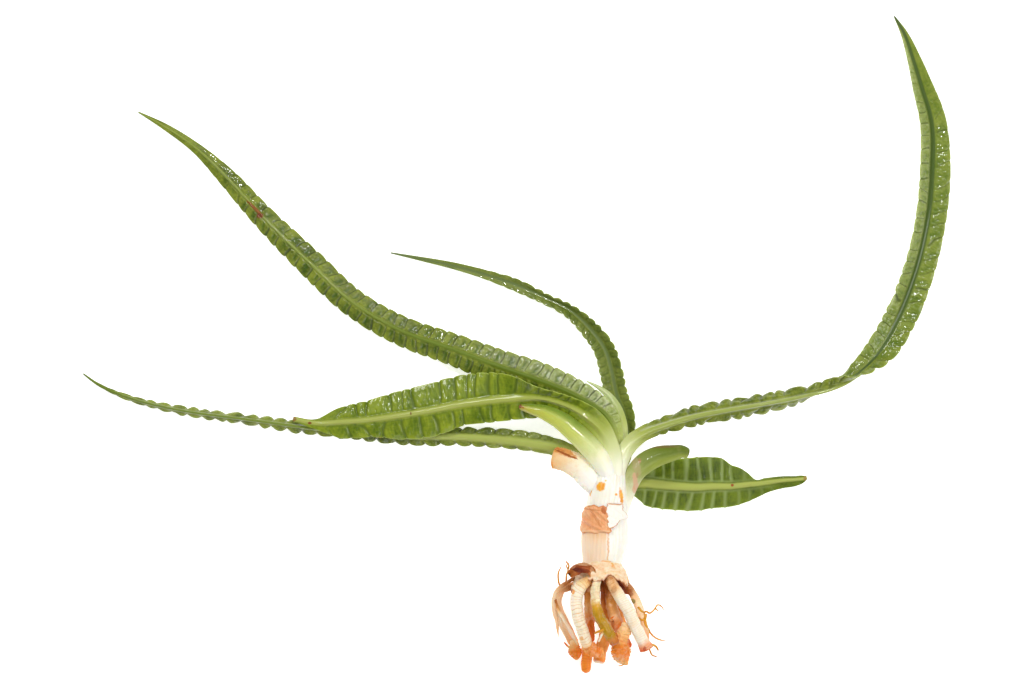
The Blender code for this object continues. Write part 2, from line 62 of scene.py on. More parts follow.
MM = 0.001
REST = 0.6                 # mm taken off every height, so that the lowest leaf edge lies on the floor

# Camera: straight above, far enough off that tall and low pieces keep one scale, all in metres
CAMERA_HEIGHT = 6.0
VIEW_WIDTH = 0.6144
VIEW_CENTRE = (-0.0033, 0.0018)

# Kinds of node: a type, or a type with the setting that tells it from others of that type
TIMES, PLUS, MINUS, OVER, POWER, LEAST, MOST, ABOVE, BELOW, ABS, SIGN, FRACTION, FLOOR, SINE, COSINE = [
    ("ShaderNodeMath", "operation", name) for name in (
        "MULTIPLY", "ADD", "SUBTRACT", "DIVIDE", "POWER", "MINIMUM", "MAXIMUM", "GREATER_THAN", "LESS_THAN",
        "ABSOLUTE", "SIGN", "FRACT", "FLOOR", "SINE", "COSINE")]
V_PLUS, V_MINUS, V_TIMES, V_SCALE, V_LENGTH = [
    ("ShaderNodeVectorMath", "operation", name) for name in (
        "ADD", "SUBTRACT", "MULTIPLY", "SCALE", "LENGTH")]
BLEND, BETWEEN = [("ShaderNodeMix", "data_type", name) for name in ("RGBA", "FLOAT")]
RANGE, SMOOTH = [("ShaderNodeMapRange", "interpolation_type", name) for name in ("LINEAR", "SMOOTHSTEP")]
DICE = ("ShaderNodeTexWhiteNoise", "noise_dimensions", "3D")
NOISE = "ShaderNodeTexNoise"
RAMP = "ShaderNodeValToRGB"
COMBINE = "ShaderNodeCombineXYZ"
SEPARATE = "ShaderNodeSeparateXYZ"
ATTRIBUTE = "ShaderNodeAttribute"
COORDS = "ShaderNodeTexCoord"


def linear(code):
    """An sRGB hex colour as linear RGBA. A colour that a property holds is linear already."""
    if not isinstance(code, str):
        return (*code, 1.0)
    channels = [int(code[i:i + 2], 16) / 255 for i in (0, 2, 4)]
    return tuple(c / 12.92 if c <= 0.04045 else ((c + 0.055) / 1.055) ** 2.4 for c in channels) + (1.0,)


def add_node(tree, kind, *values, out=0, **settings):
    """Adds a node with its settings, fills its open inputs in order, and returns one of its open outputs.

    A value that is a tuple of a kind and values stands for the node that they make, which is added first.
    """
    values = [add_node(tree, *v) if isinstance(v, tuple) and isinstance(v[0], (str, tuple)) else v
              for v in values]
    kind, *setting = (kind,) if isinstance(kind, str) else kind
    node = tree.nodes.new(kind)
    for name, value in (*zip(setting[:1], setting[1:]), *settings.items()):
        setattr(node, name, value)
    node.location = (180 * (len(tree.nodes) % 24), -220 * (len(tree.nodes) // 24))
    for socket, value in zip([s for s in node.inputs if s.enabled], values):
        if isinstance(value, bpy.types.NodeSocket):
            tree.links.new(value, socket)
        elif value is not None:
            socket.default_value = value
    outputs = [s for s in node.outputs if s.enabled]
    return outputs[out] if outputs else node


def ramp(socket, stops):
    """Sets the stops of the colour ramp that the socket belongs to, as places and hex colours."""
    elements = socket.node.color_ramp.elements
    while len(elements) > 1:
        elements.remove(elements[-1])
    elements[0].position = stops[0][0]
    elements[0].color = linear(stops[0][1])
    for place, code in stops[1:]:
        elements.new(place).color = linear(code)
    return socket


# Leaves. A station is x, y, z of the midrib, the half widths on its left and right seen from the base,
# the roll and the fold, in millimetres and degrees. A roll of 180 lays the channel side up. The other
# rows are a share of the length and values there: half width of the midrib, how light the midrib is, the
# plain band beside it, ripple pitch left and right in millimetres, how far the edge waves, how pale the
# left and right pillows are, which is a painted sheen in the colour and deepens the dimples, and how far a
# pillow swells, or sinks below nought. "stem" is where the rounded base starts and ends to flatten, and its
# thickness; "green" where the leaf is fully green.
# "cells" are one value for each name in CELL_INPUTS.
CELL_INPUTS = ("Groove", "Shade", "Corner", "Crease Width", "Wrinkle", "Bow", "Skew", "Shingle", "Scallop",
               "Unevenness", "Dimple", "Rib Height")
LEAVES = {
    "leaf_upper_left": {
        "slot": "leaf_green", "rows": 900, "green": 52, "stem": (6, 20, 3.6),
        "cells": (1, 0, 1.3, 0.9, 2.2, 0.2, 0, 0.9, 0.06, 0.25, 0.55, 0.8),
        "rib": [(0, 2.6), (0.25, 2.4), (0.4, 1.9), (0.55, 1.4), (0.75, 1.2), (1, 0.8)],
        "rib_light": [(0, 0.3), (0.15, 0.1), (0.45, 0.15), (0.6, 0.5), (0.9, 0.5)],
        "band": [(0, 0.4), (1, 0.3)],
        "pitch": [(0, 5, 5.2), (0.15, 5.2, 5.4), (0.24, 7, 7.6), (0.5, 7.2, 7.8), (0.62, 8.6, 8.8),
                  (0.8, 9, 10)],
        "wave": [(0, 0), (0.12, 0.1), (0.35, 0.35), (0.75, 0.4), (0.86, 0.2), (0.93, 0)],
        "pale": [(0, 0.5, 0.95), (0.14, 0.2, 0.95), (0.24, 0, 0.5), (0.36, 0, 0.1), (0.42, 0, 0)],
        "pillow": [(0, 0), (0.09, 0.35), (0.15, 0.9), (0.75, 1), (0.83, 0.4), (0.9, 0)],
        "stations": [
            (57.5, -88, 20, 3.5, 3.5, 0, 0), (58.2, -76, 21, 4, 4, 0, 0),
            (59, -63.5, 21, 5, 4.4, 0, 5), (57.5, -51.5, 21.2, 6.6, 5.4, 0, 8),
            (53, -42.5, 21, 8, 7.4, 0, 10), (45, -36.5, 20, 9.4, 9, 0, 12),
            (32.5, -29.5, 18, 10.7, 10, 0, 12), (14.5, -22, 15, 11, 11, 0, 12),
            (-10, -13.5, 12, 11, 10.5, 0, 14), (-39.5, -2.5, 9, 10, 9.7, 0, 15),
            (-68, 7.5, 7, 9.2, 9.1, 0, 15), (-97, 24, 5.5, 8.7, 8.5, 0, 15),
            (-125.5, 50, 4.5, 8.6, 8.5, 0, 15), (-154.5, 78.5, 4, 7, 7, 0, 15),
            (-173.5, 99.5, 3.2, 5.8, 5.8, 0, 15), (-193, 118, 2.5, 3.3, 3.3, 0, 15),
            (-212, 131, 1.8, 2, 2, 0, 15), (-227.5, 139.5, 1.2, 0.4, 0.4, 0, 15)],
    },
    "leaf_top": {
        "slot": "leaf_dark", "rows": 640, "green": 34, "stem": (10, 26, 3),
        "cells": (0.6, 0.3, 1.3, 1.1, 1.8, 0.2, 0, 0.2, 0.05, 0.25, 0.35, 0.6),
        "rib": [(0, 3), (0.6, 2.2), (1, 1.2)],
        "rib_light": [(0, 0)],
        "band": [(0, 0.6)],
        "pitch": [(0, 5, 5), (0.45, 5.6, 5.6), (0.6, 6.5, 6.5), (0.75, 8, 8)],
        "wave": [(0, 0.2), (0.15, 0.55), (0.55, 0.75), (0.7, 0.6), (0.8, 0)],
        "pillow": [(0, 0), (0.15, 0.5), (0.5, 0.7), (0.6, 0.3), (0.68, 0)],
        "stations": [
            (57.5, -84, 12.5, 3, 3, 180, 0), (64.5, -66.5, 11.5, 4, 4, 180, 12),
            (65.5, -53.5, 8.5, 5.8, 5.8, 178, 28), (63.5, -40.5, 7, 7.7, 7.7, 175, 33),
            (60, -31, 6, 8.3, 8.3, 171, 35), (56.5, -15.5, 5, 8.3, 8.3, 171, 35),
            (52.5, -2.5, 4, 7.8, 7.9, 170, 36), (43.5, 10, 3.2, 6.8, 7.2, 168, 38),
            (32, 20.5, 2.8, 5.8, 6.2, 166, 48), (16.5, 28.5, 2.6, 4.9, 5.3, 159, 50),
            (0.5, 35.5, 2.4, 4.5, 4.7, 167, 35), (-17.5, 41.5, 2.1, 3.2, 3.2, 174, 26),
            (-39.5, 47.5, 1.8, 2.2, 2.2, 180, 20), (-58.5, 51.5, 1.5, 1.3, 1.3, 180, 15),
            (-76, 55, 1.2, 0.4, 0.4, 180, 15)],
    },
    "leaf_right": {
        "slot": "leaf_green", "rows": 960, "green": 60, "stem": (26, 52, 5.6),
        "cells": (0.7, 0, 1, 0.8, 2.4, -0.22, -0.22, 0.3, 0.05, 0.5, 0.3, 1.3),
        "rib": [(0, 3.6), (0.12, 3.2), (0.22, 2.2), (0.4, 1.8), (0.48, 1.8), (0.56, 3.8), (0.8, 3.4),
                (1, 1.6)],
        "rib_light": [(0, 0.8), (0.4, 0.7)],
        "band": [(0, 2.4), (0.4, 1.8), (0.5, 0.3), (1, 0.2)],
        "pitch": [(0, 8.6, 8.8), (0.45, 8.8, 9.2), (0.6, 9.4, 8.6), (0.8, 9, 8.2), (1, 7.5, 7.5)],
        "wave": [(0, 0), (0.1, 0.1), (0.16, 1.2), (0.45, 1.4), (0.55, 0.8), (0.65, 0.25), (0.85, 0.05)],
        "pale": [(0, 0, 0), (0.42, 0, 0), (0.5, 0.05, 0.4), (0.65, 0.1, 0.75), (0.9, 0.05, 0.7)],
        "pillow": [(0, 0), (0.12, 0.1), (0.18, 0.7), (0.6, 0.8), (0.85, 0.6), (0.93, 0)],
        "stations": [
            (57.5, -88.5, 24.5, 5, 5, 0, 0), (59, -79, 25.6, 5, 5, 0, 0),
            (62.3, -67.5, 25.4, 4.8, 4.9, 0, 8), (68.5, -58, 23, 4.9, 5.4, 0, 16),
            (76.5, -52.8, 20.6, 5.4, 5.2, 0, 30), (86, -49.3, 18, 6.8, 5.8, 0, 42),
            (107, -43, 14, 9, 7.8, 0, 48), (128, -39, 11.5, 9, 8.8, 0, 50),
            (148.5, -35.5, 10, 9, 8.6, 2, 52), (169, -31.5, 9, 8.6, 8.6, 12, 58),
            (179.5, -29, 8.5, 7.5, 7.5, 27, 66), (190, -25.5, 8, 7, 7.5, 62, 55),
            (200, -20.5, 7.5, 8, 8, 110, 34), (209, -13.5, 6, 9, 8.5, 142, 28),
            (217.5, -4, 4, 10, 9.5, 170, 23), (227.5, 14, 2.6, 11, 10, 188, 24),
            (236.5, 37, 2.2, 11.5, 10, 198, 23), (245, 70, 2.2, 11.5, 9.8, 202, 22),
            (248.5, 103.5, 2.2, 11.5, 9.8, 202, 22), (247.5, 137, 2.2, 9, 8.4, 196, 22),
            (242.5, 154, 2.1, 7.3, 6, 185, 20), (237.5, 170.5, 2, 5, 3.8, 180, 18),
            (231.5, 187.5, 1.8, 2.1, 2.1, 180, 15), (226, 197, 1.5, 0.4, 0.4, 180, 15)],
    },
    "leaf_cut_left": {
        "slot": "leaf_glossy", "rows": 640, "green": 62, "stem": (24, 44, 4),
        "cells": (0.35, 0.3, 2, 2, 1.8, 0.2, 0, 0.5, 0.04, 0.55, 0.25, 1.3),
        "rib": [(0, 4), (0.4, 3.5), (0.7, 2.9), (1, 2.2)],
        "rib_light": [(0, 0.9)],
        "band": [(0, 0.4)],
        "pitch": [(0, 6, 6), (0.3, 8, 6.5), (0.5, 9, 7.5), (0.7, 10.5, 10)],
        "wave": [(0, 0), (0.25, 0.2), (0.6, 0.3), (0.72, 0.4), (0.8, 1), (0.92, 0.8), (0.96, 0)],
        "pillow": [(0, 0), (0.18, 0.2), (0.3, 1), (0.85, 0.9), (0.93, 0)],
        "stations": [
            (57, -90, 25, 4.6, 4.6, 0, 0), (57.8, -80, 27, 4.8, 4.8, 0, 0),
            (57.4, -68, 28, 5.2, 5.2, 0, 2), (54.2, -58, 27.6, 5.8, 5.4, -4, 2),
            (49, -49.8, 27.2, 6.4, 6.8, -12, -5), (42, -43.5, 27, 8.4, 8, -20, -10),
            (32.5, -37, 26.5, 11, 8.4, -35, -18), (23.5, -33.5, 25.5, 13, 9, -40, -20),
            (14.5, -31.5, 24, 13.4, 10, -38, -20), (2, -32, 21.5, 12.8, 13, -14, -6),
            (-16, -33.5, 18, 13.2, 17, 0, 6), (-34.5, -36, 15, 13, 17.5, 0, 12),
            (-52.5, -39.5, 13, 16, 16, 0, 12), (-70.5, -42.5, 11.5, 14.8, 14.6, 0, 12),
            (-88.5, -45, 10.5, 10.6, 11.7, 0, 12), (-106.5, -46.5, 9.6, 9.8, 8.7, 0, 12),
            (-121.5, -47, 8.9, 3.6, 2.3, 0, 8), (-134.5, -44.5, 8.6, 1.4, 1.4, 0, 0)],
    },
    "leaf_low_left": {
        "slot": "leaf_green", "rows": 900, "green": 44, "stem": (10, 30, 3.2),
        "cells": (0.6, 0.3, 1.2, 1.2, 2.2, 0.2, 0, 0.3, 0.06, 0.3, 0.2, 0.8),
        "rib": [(0, 4.6), (0.2, 4.2), (0.35, 3), (0.5, 2), (1, 1.2)],
        "rib_light": [(0, 1), (0.36, 0.95), (0.5, 0.3), (1, 0.1)],
        "band": [(0, 0.8), (0.4, 0.5)],
        "pitch": [(0, 8, 8), (0.2, 9.6, 9.6), (0.6, 9, 9.4), (0.8, 8.4, 8.4)],
        "wave": [(0, 0), (0.12, 0.4), (0.22, 1.5), (0.5, 1.7), (0.8, 1.2), (0.92, 0.4), (1, 0)],
        "pale": [(0, 0.5, 0.5), (0.12, 0.3, 0.3), (0.25, 0, 0.1), (0.6, 0, 0.1), (0.75, 0.25, 0.25),
                 (1, 0.1, 0.1)],
        "pillow": [(0, 0), (0.1, 0.3), (0.2, 0.7), (0.7, 0.5), (0.85, 0)],
        "stations": [
            (50.5, -84.5, 15, 4, 4, 0, 0), (43, -76, 15.5, 4.6, 4.6, 0, 0),
            (37.5, -70, 14.6, 5, 5, 0, 8), (29, -64, 13, 5.2, 5.6, 0, 15),
            (19, -61.3, 11.3, 4.8, 6.6, 0, 20), (7.5, -59.3, 9.7, 4.8, 7.4, 0, 22),
            (-11, -57.2, 8, 5, 7.4, 0, 25), (-33.5, -55.5, 6.6, 5.4, 6.2, 0, 28),
            (-63.5, -55, 5.6, 6, 6, 0, 32), (-94.5, -52.5, 5.3, 5.6, 5.6, 0, 42),
            (-124.5, -50, 5, 5.2, 5.2, 0, 50), (-154.5, -46, 4.8, 4.8, 4.8, 0, 56),
            (-173.5, -43.5, 4.6, 4.6, 4.6, 0, 58), (-193, -41, 4.3, 4.3, 4.3, 0, 58),
            (-212, -37.5, 3.7, 3.6, 3.6, 0, 56), (-231.5, -32.5, 2.8, 2.6, 2.6, 0, 50),
            (-244.5, -27.5, 2.2, 1.5, 1.5, 0, 40), (-253, -23, 1.7, 0.9, 0.9, 0, 30),
            (-260.5, -17.5, 1.2, 0.4, 0.4, 0, 20)],
    },
    "leaf_cut_right": {
        "slot": "leaf_glossy", "finish": "leaf_satin", "rows": 480, "green": 15, "stem": (5, 14, 3.6),
        "cells": (-0.5, 1, 1.9, 1.9, 0.8, 0.1, 0, 0.2, 0.04, 0.25, 0.3, 1.5),
        "rib": [(0, 4.8), (0.3, 3.8), (0.6, 2.8), (0.8, 2.2), (1, 1.6)],
        "rib_light": [(0, 0.9)],
        "band": [(0, 0.9)],
        "pitch": [(0, 7.2, 7), (1, 7.2, 7)],
        "wave": [(0, 0.1), (0.6, 0.15), (0.7, 0)],
        "pillow": [(0, -0.2), (0.12, -0.8), (0.55, -0.8), (0.66, -0.35), (0.8, -0.25), (0.86, 0)],
        "stations": [
            (58.5, -83.5, 12.5, 3, 3, 0, 0), (66.5, -83, 12, 5, 5, 0, 0),
            (71, -83, 11.5, 7.2, 8.8, 0, 5), (77, -83, 10.5, 11.6, 13.4, 0, 12),
            (86.5, -84, 8.8, 15.4, 15.2, 0, 18), (97.5, -85, 7.6, 17.7, 15.4, 0, 20),
            (107, -85.5, 6.8, 19, 15.2, 0, 20), (116.5, -85, 6.2, 18.9, 14.1, 0, 20),
            (122, -85, 6, 18.2, 13.8, 0, 20), (128, -85, 5.8, 14.2, 13, 0, 20),
            (135.5, -84.2, 5.5, 10.6, 11.4, 0, 20), (139, -83.8, 5.3, 7, 10.4, 0, 18),
            (142, -83.6, 5.2, 3.2, 9, 0, 14), (149, -82.8, 5, 2.9, 6.2, 0, 10),
            (158.5, -81.5, 4.6, 2.6, 4.8, 0, 6), (167, -80.9, 4.2, 2.2, 3.9, 0, 3),
            (171, -80.5, 4, 2, 2.6, 0, 0), (173.6, -80, 4, 1.2, 0.8, 0, 0)],
    },
    "leaf_young": {
        "slot": "leaf_pale", "rows": 160, "green": 60, "stem": (10, 30, 2.6),
        "cells": (0, 0, 1, 1, 0.5, 0, 0, 0, 0, 0.2, 0, 0.3),
        "rib": [(0, 1.6), (1, 1)],
        "rib_light": [(0, 1)],
        "band": [(0, 0.8)],
        "pitch": [(0, 8, 8), (1, 8, 8)],
        "wave": [(0, 0), (1, 0)],
        "pillow": [(0, 0), (1, 0)],
        "stations": [
            (59.5, -84, 19, 3.4, 3.4, 0, 0), (61.5, -70, 19.6, 3.4, 3.4, 0, 5),
            (62.8, -58, 19, 3.2, 3.4, 0, 15), (62, -46, 18.6, 3.2, 3.6, 0, 25),
            (58.5, -36.5, 17.6, 3.4, 3.2, 0, 25), (54, -30, 16.6, 2.4, 2.2, 0, 25),
            (48, -25.4, 15.5, 1.2, 1.2, 0, 15), (41.5, -22, 15, 0.4, 0.4, 0, 10)],
    },
}


def smooth_rows(stations, step):
    """Rows along a smooth curve through the stations, one for each step of its length."""
    rows = np.array(stations, dtype=float)
    along = np.concatenate([[0.0], np.cumsum(np.linalg.norm(np.diff(rows[:, :3], axis=0), axis=1))])
    slopes = np.gradient(rows, along, axis=0)
    count = max(len(rows), round(along[-1] / step)) + 1
    places = np.linspace(0.0, along[-1], count)
    result = []
    for place in places:
        i = min(int(np.searchsorted(along, place, side="right")) - 1, len(rows) - 2)
        span = along[i + 1] - along[i]
        t = (place - along[i]) / span
        start = (2 * t**3 - 3 * t**2 + 1) * rows[i] + (t**3 - 2 * t**2 + t) * span * slopes[i]
        end = (3 * t**2 - 2 * t**3) * rows[i + 1] + (t**3 - t**2) * span * slopes[i + 1]
        result.append(start + end)
    return places, np.array(result)


def route_frames(points, roll=0.0):
    """The level axis to a route's left and the axis square to it, both turned by the roll in degrees."""
    directions = np.gradient(points, axis=0)
    directions /= np.linalg.norm(directions, axis=1)[:, None]
    sides = np.cross([0.0, 0.0, 1.0], directions)
    sides /= np.linalg.norm(sides, axis=1)[:, None]
    ups = np.cross(directions, sides)
    turn = np.radians(np.broadcast_to(roll, len(points)))[:, None]
    return np.cos(turn) * sides + np.sin(turn) * ups, np.cos(turn) * ups - np.sin(turn) * sides


def route_object(name, points, values, axes):
    """A line of edges through the points, in millimetres, that carries values and axes for a node tree."""
    mesh = bpy.data.meshes.new(name)
    placed = (np.asarray(points) - [0.0, 0.0, REST]) * MM
    mesh.from_pydata(placed.tolist(), [(i, i + 1) for i in range(len(placed) - 1)], [])
    for key, column in values.items():
        mesh.attributes.new(key, "FLOAT", "POINT").data.foreach_set("value", np.asarray(column, np.float32))
    for key, rows in axes.items():
        data = mesh.attributes.new(key, "FLOAT_VECTOR", "POINT").data
        data.foreach_set("vector", np.asarray(rows, np.float32).ravel())
    obj = bpy.data.objects.new(name, mesh)
    bpy.context.scene.collection.objects.link(obj)
    return obj


def share_rows(table, shares, column=1):
    """A table's column read off at each share of the length."""
    places = [row[0] for row in table]
    return np.interp(shares, places, [row[column] for row in table])


def grow(obj, tree, values):
    """Runs a node tree on a route object with its inputs set, and keeps the result as a plain mesh."""
    modifier = obj.modifiers.new(tree.name, "NODES")
    modifier.node_group = tree
    for item in tree.interface.items_tree:
        if item.in_out == "INPUT" and item.name in values:
            value = values[item.name]
            modifier[item.identifier] = float(value) if item.socket_type == "NodeSocketFloat" else value
    graph = bpy.context.evaluated_depsgraph_get()
    graph.update()
    mesh = bpy.data.meshes.new_from_object(obj.evaluated_get(graph))
    obj.modifiers.clear()
    line = obj.data
    obj.data = mesh
    bpy.data.meshes.remove(line)
    mesh.name = obj.name
    if not mesh.polygons:
        raise RuntimeError("the node tree made no faces for " + obj.name)
    return obj


def dress(obj, slot, *nodes):
    """Lets a finished piece ride on the plant's one body and stand for its plain solids."""
    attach(obj, "root")
    if nodes:
        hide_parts(*nodes)
    return obj


def new_tree(name, inputs, keys):
    """A node tree for a tube along a route, given its inputs' defaults and the names of the route's values.

    Returns what adds its nodes, its inputs, the tube, the places across, above and along the tube, and the
    route's values there.
    """
    tree = bpy.data.node_groups.new(name, "GeometryNodeTree")
    tree.interface.new_socket("Geometry", in_out="INPUT", socket_type="NodeSocketGeometry")
    for label, default in inputs.items():
        kind = "Int" if isinstance(default, int) else "Float"
        socket = tree.interface.new_socket(label, in_out="INPUT", socket_type="NodeSocket" + kind)
        socket.default_value = default
    tree.interface.new_socket("Material", in_out="INPUT", socket_type="NodeSocketMaterial")
    tree.interface.new_socket("Geometry", in_out="OUTPUT", socket_type="NodeSocketGeometry")
    add = partial(add_node, tree)
    given = {socket.name: socket for socket in tree.nodes.new("NodeGroupInput").outputs}
    curve = add("GeometryNodeMeshToCurve", given["Geometry"])
    tube = add("GeometryNodeMeshCylinder", given["Around"], given["Rows"], 1, 1.0, 1.0, fill_type="NGON")
    x, y, z = add(SEPARATE, ("GeometryNodeInputPosition",)).node.outputs
    share = add(PLUS, z, 0.5)
    read = {}
    for key in (*keys, "side", "up"):
        kind = "FLOAT_VECTOR" if key in ("side", "up") else "FLOAT"
        held = add("GeometryNodeInputNamedAttribute", key, data_type=kind)
        read[key] = add("GeometryNodeSampleCurve", curve, held, share, mode="FACTOR", data_type=kind)
    centre = read[keys[0]].node.outputs["Position"]
    return add, given, tube, (x, y, share), SimpleNamespace(centre=centre, **read)


def finish_tree(add, tube, route, level, height, material, shades):
    """Stores what the material reads, moves the tube's points off the route, and ends the tree."""
    moved = add(V_PLUS, (V_SCALE, route.side, level), (V_SCALE, route.up, height))
    moved = add(V_PLUS, moved, route.centre)
    for key, field in shades.items():
        tube = add("GeometryNodeStoreNamedAttribute", tube, None, key, field, data_type="FLOAT")
    shaped = add("GeometryNodeSetPosition", tube, None, moved)
    shaped = add("GeometryNodeSetShadeSmooth", shaped)
    shaped = add("GeometryNodeRealizeInstances", shaped)
    return add("NodeGroupOutput", add("GeometryNodeSetMaterial", shaped, None, material)).id_data


def new_material(name, *keys):
    """What adds a new material's nodes, its shader, the place on the object, and the attributes it reads."""
    material = bpy.data.materials.new(name)
    material.use_nodes = True
    material.node_tree.nodes.clear()
    add = partial(add_node, material.node_tree)
    shader = add("ShaderNodeBsdfPrincipled")
    add("ShaderNodeOutputMaterial", shader)
    read = {key: add(ATTRIBUTE, attribute_name=key, out=2) for key in keys}
    return add, shader.node, add(COORDS, out=3), SimpleNamespace(**read)


def finish_material(add, shader, colour, roughness, height, bump, depth, settings):
    """Joins colour, roughness and a bump of that depth in millimetres to the shader, and sets the rest."""
    normal = add("ShaderNodeBump", bump, depth * MM, None, height)
    for label, socket in {"Base Color": colour, "Roughness": roughness, "Normal": normal}.items():
        shader.id_data.links.new(socket, shader.inputs[label])
    for label, value in settings.items():
        shader.inputs[label].default_value = value
    return next(m for m in bpy.data.materials if m.node_tree == shader.id_data)


def spot_mask(add, where, x, y, half_width, half_length, lean):
    """One inside a soft ragged oval seen from above, nought outside it, in millimetres and degrees."""
    shifted = add(V_MINUS, where, (x * MM, y * MM, 0.0))
    flat = add(V_TIMES, shifted, (1.0, 1.0, 0.0))
    turned = add("ShaderNodeVectorRotate", flat, None, math.radians(lean), rotation_type="Z_AXIS")
    scaled = add(V_TIMES, turned, (1 / (half_width * MM), 1 / (half_length * MM), 0.0))
    distance = add(V_LENGTH, scaled)
    ragged = add(NOISE, where, 700.0, 2.0, 0.6)
    distance = add(PLUS, distance, (TIMES, ragged, 0.9))
    return add(SMOOTH, distance, 1.2, 1.65, 1.0, 0.0)


def marked(add, where, colour, marks):
    """The colour with marks on it, each an oval as in spot_mask, a hex colour and a strength."""
    for x, y, half_width, half_length, lean, code, strength in marks:
        mask = spot_mask(add, where, x, y, half_width, half_length, lean)
        colour = add(BLEND, (TIMES, mask, strength), colour, linear(code))
    return colour


def leaf_tree():
    """Grows a closed leaf blade along a route: a midrib, and pillows between creases on each half."""
    add, given, tube, (x, y, _), route = new_tree("Rippled Leaf Blade", {
        "Around": 84, "Rows": 600, "Blade Thickness": 0.7 * MM, "Dimple": 0.3, "Rib Height": 0.9 * MM,
        "Channel Depth": 0.12 * MM, "Pillow Height": 0.8 * MM, "Crease Width": 1.2 * MM, "Corner": 2.0 * MM,
        "Groove": 1.0, "Shade": 0.3, "Shingle": 0.5, "Scallop": 0.06, "Unevenness": 0.25, "Wrinkle": 1.5,
        "Bow": 0.2, "Skew": 0.0, "Seed": 0.0,
    }, ("left", "right", "fold", "beat_left", "beat_right", "wave", "pillow", "girth", "stem", "along",
        "green", "rib_light", "rib_width", "pale_left", "pale_right", "pitch_left", "pitch_right", "band"))

    # Across the blade: points crowd at the midrib, and both faces meet at the edge
    cube = add(POWER, x, 3.0)
    across = add(PLUS, (TIMES, x, 0.6), (TIMES, cube, 0.4))
    reach = add(ABS, across)
    hand = add(SIGN, across)
    is_left = add(ABOVE, across, 0.0)
    face = add(SIGN, y)
    thin = add(POWER, (ABS, y), 0.45)

    # The beat counts the pillows of each half. It drifts, so that no two are alike
    beat = add(BETWEEN, is_left, route.beat_right, route.beat_left)
    bowed = add(PLUS, (TIMES, given["Skew"], hand), given["Bow"])
    bowed = add(TIMES, (POWER, reach, 1.5), bowed)
    where = add(COMBINE, (TIMES, beat, 0.6), (TIMES, across, 0.45), given["Seed"])
    drift = add(MINUS, (NOISE, where, 1.0, 1.0, 0.5), 0.5)
    drift = add(TIMES, drift, given["Unevenness"])
    beat = add(PLUS, (PLUS, beat, bowed), (TIMES, drift, 4.0))
    inside = add(FRACTION, beat)
    dice_at = add(COMBINE, (FLOOR, beat), is_left, given["Seed"])
    dice = add(DICE, dice_at)
    tilt = add(DICE, (V_PLUS, dice_at, (3.7, 1.9, 5.1)))
    off_middle = add(MINUS, inside, 0.5)
    from_middle = add(ABS, off_middle)
    dome = add(MINUS, 1.0, (POWER, (TIMES, from_middle, 2.0), 2.0))

    # Half widths. A pillow stands out past the next one, like a shingle
    lean = add(TIMES, (TIMES, off_middle, given["Shingle"]), (TIMES, hand, -1.0))
    width = add(BETWEEN, is_left, route.right, route.left)
    pitch = add(BETWEEN, is_left, route.pitch_right, route.pitch_left)
    past_side = add(TIMES, (MINUS, 0.5, from_middle), pitch)
    round_to = add(LEAST, given["Corner"], (TIMES, pitch, 0.27))
    notch = add(SMOOTH, past_side, 0.0, 1.3 * MM, 0.0, 1.0)
    notch = add(PLUS, (TIMES, notch, 0.6), (TIMES, dome, 0.4))
    lobes = add(MINUS, (PLUS, notch, (TIMES, lean, 1.6)), 0.8)
    lobes = add(TIMES, lobes, given["Scallop"])
    lobes = add(TIMES, lobes, route.pillow)
    width = add(TIMES, width, (PLUS, 1.0, lobes))
    out_by = add(TIMES, reach, width)

    # A pillow's outline: creases on both sides, and a rounded end that leaves a plain band at the midrib
    plain_to = add(PLUS, route.band, (TIMES, route.rib_width, 0.6))
    past_band = add(MINUS, out_by, plain_to)
    short = []
    for distance in (past_side, past_band):
        gap = add(MINUS, round_to, distance)
        short.append(add(POWER, (MOST, gap, 0.0), 2.0))
    corner = add(POWER, (PLUS, short[0], short[1]), 0.5)
    depth_in = add(MINUS, round_to, corner)
    crest = add(SMOOTH, depth_in, 0.0, given["Crease Width"], 0.0, 1.0)
    heart = add(SMOOTH, depth_in, (TIMES, round_to, 0.6), round_to, 0.0, 1.0)
    past_edge = add(MINUS, width, out_by)

    # A soft groove within each pillow, deepest towards the midrib, and how much painted shade a crease gets
    # (a painted sheen where the pillows sink)
    groove_at = add(MINUS, (RANGE, tilt, 0.0, 1.0, 0.27, 0.43),
                    (SMOOTH, past_band, 0.0, 1.6 * MM, -0.16, 0.0))
    from_groove = add(ABS, (MINUS, inside, groove_at))
    groove = add(SMOOTH, from_groove, 0.02, 0.17, 1.0, 0.0)
    groove = add(TIMES, groove, (RANGE, past_band, 0.1 * MM, 0.9 * MM, 0.0, 1.0))
    groove_end = add(RANGE, dice, 0.0, 1.0, 0.72, 0.98)
    groove = add(TIMES, groove, (RANGE, (MINUS, groove_end, reach), 0.0, 0.3, 0.0, 1.0))
    groove = add(TIMES, groove, given["Groove"])
    cleft = add(MINUS, 1.0, crest)
    cleft = add(TIMES, cleft, (RANGE, past_band, 0.0, 1.2 * MM, given["Shade"], 1.0))
    heart = add(TIMES, heart, (RANGE, past_edge, 0.7 * MM, 2.4 * MM, 0.0, 1.0))

    # The halves fold away from the midrib in a soft bend
    bend = 1.5 * MM
    long_side = add(POWER, (PLUS, (POWER, out_by, 2.0), bend * bend), 0.5)
    dropped = add(MINUS, long_side, bend)
    slope = add(TIMES, (OVER, out_by, long_side), route.fold)
    lean_sine = add(SINE, slope)
    lean_cosine = add(COSINE, slope)
    run = add(TIMES, (TIMES, out_by, (COSINE, route.fold)), hand)
    rise = add(TIMES, dropped, (SINE, route.fold))

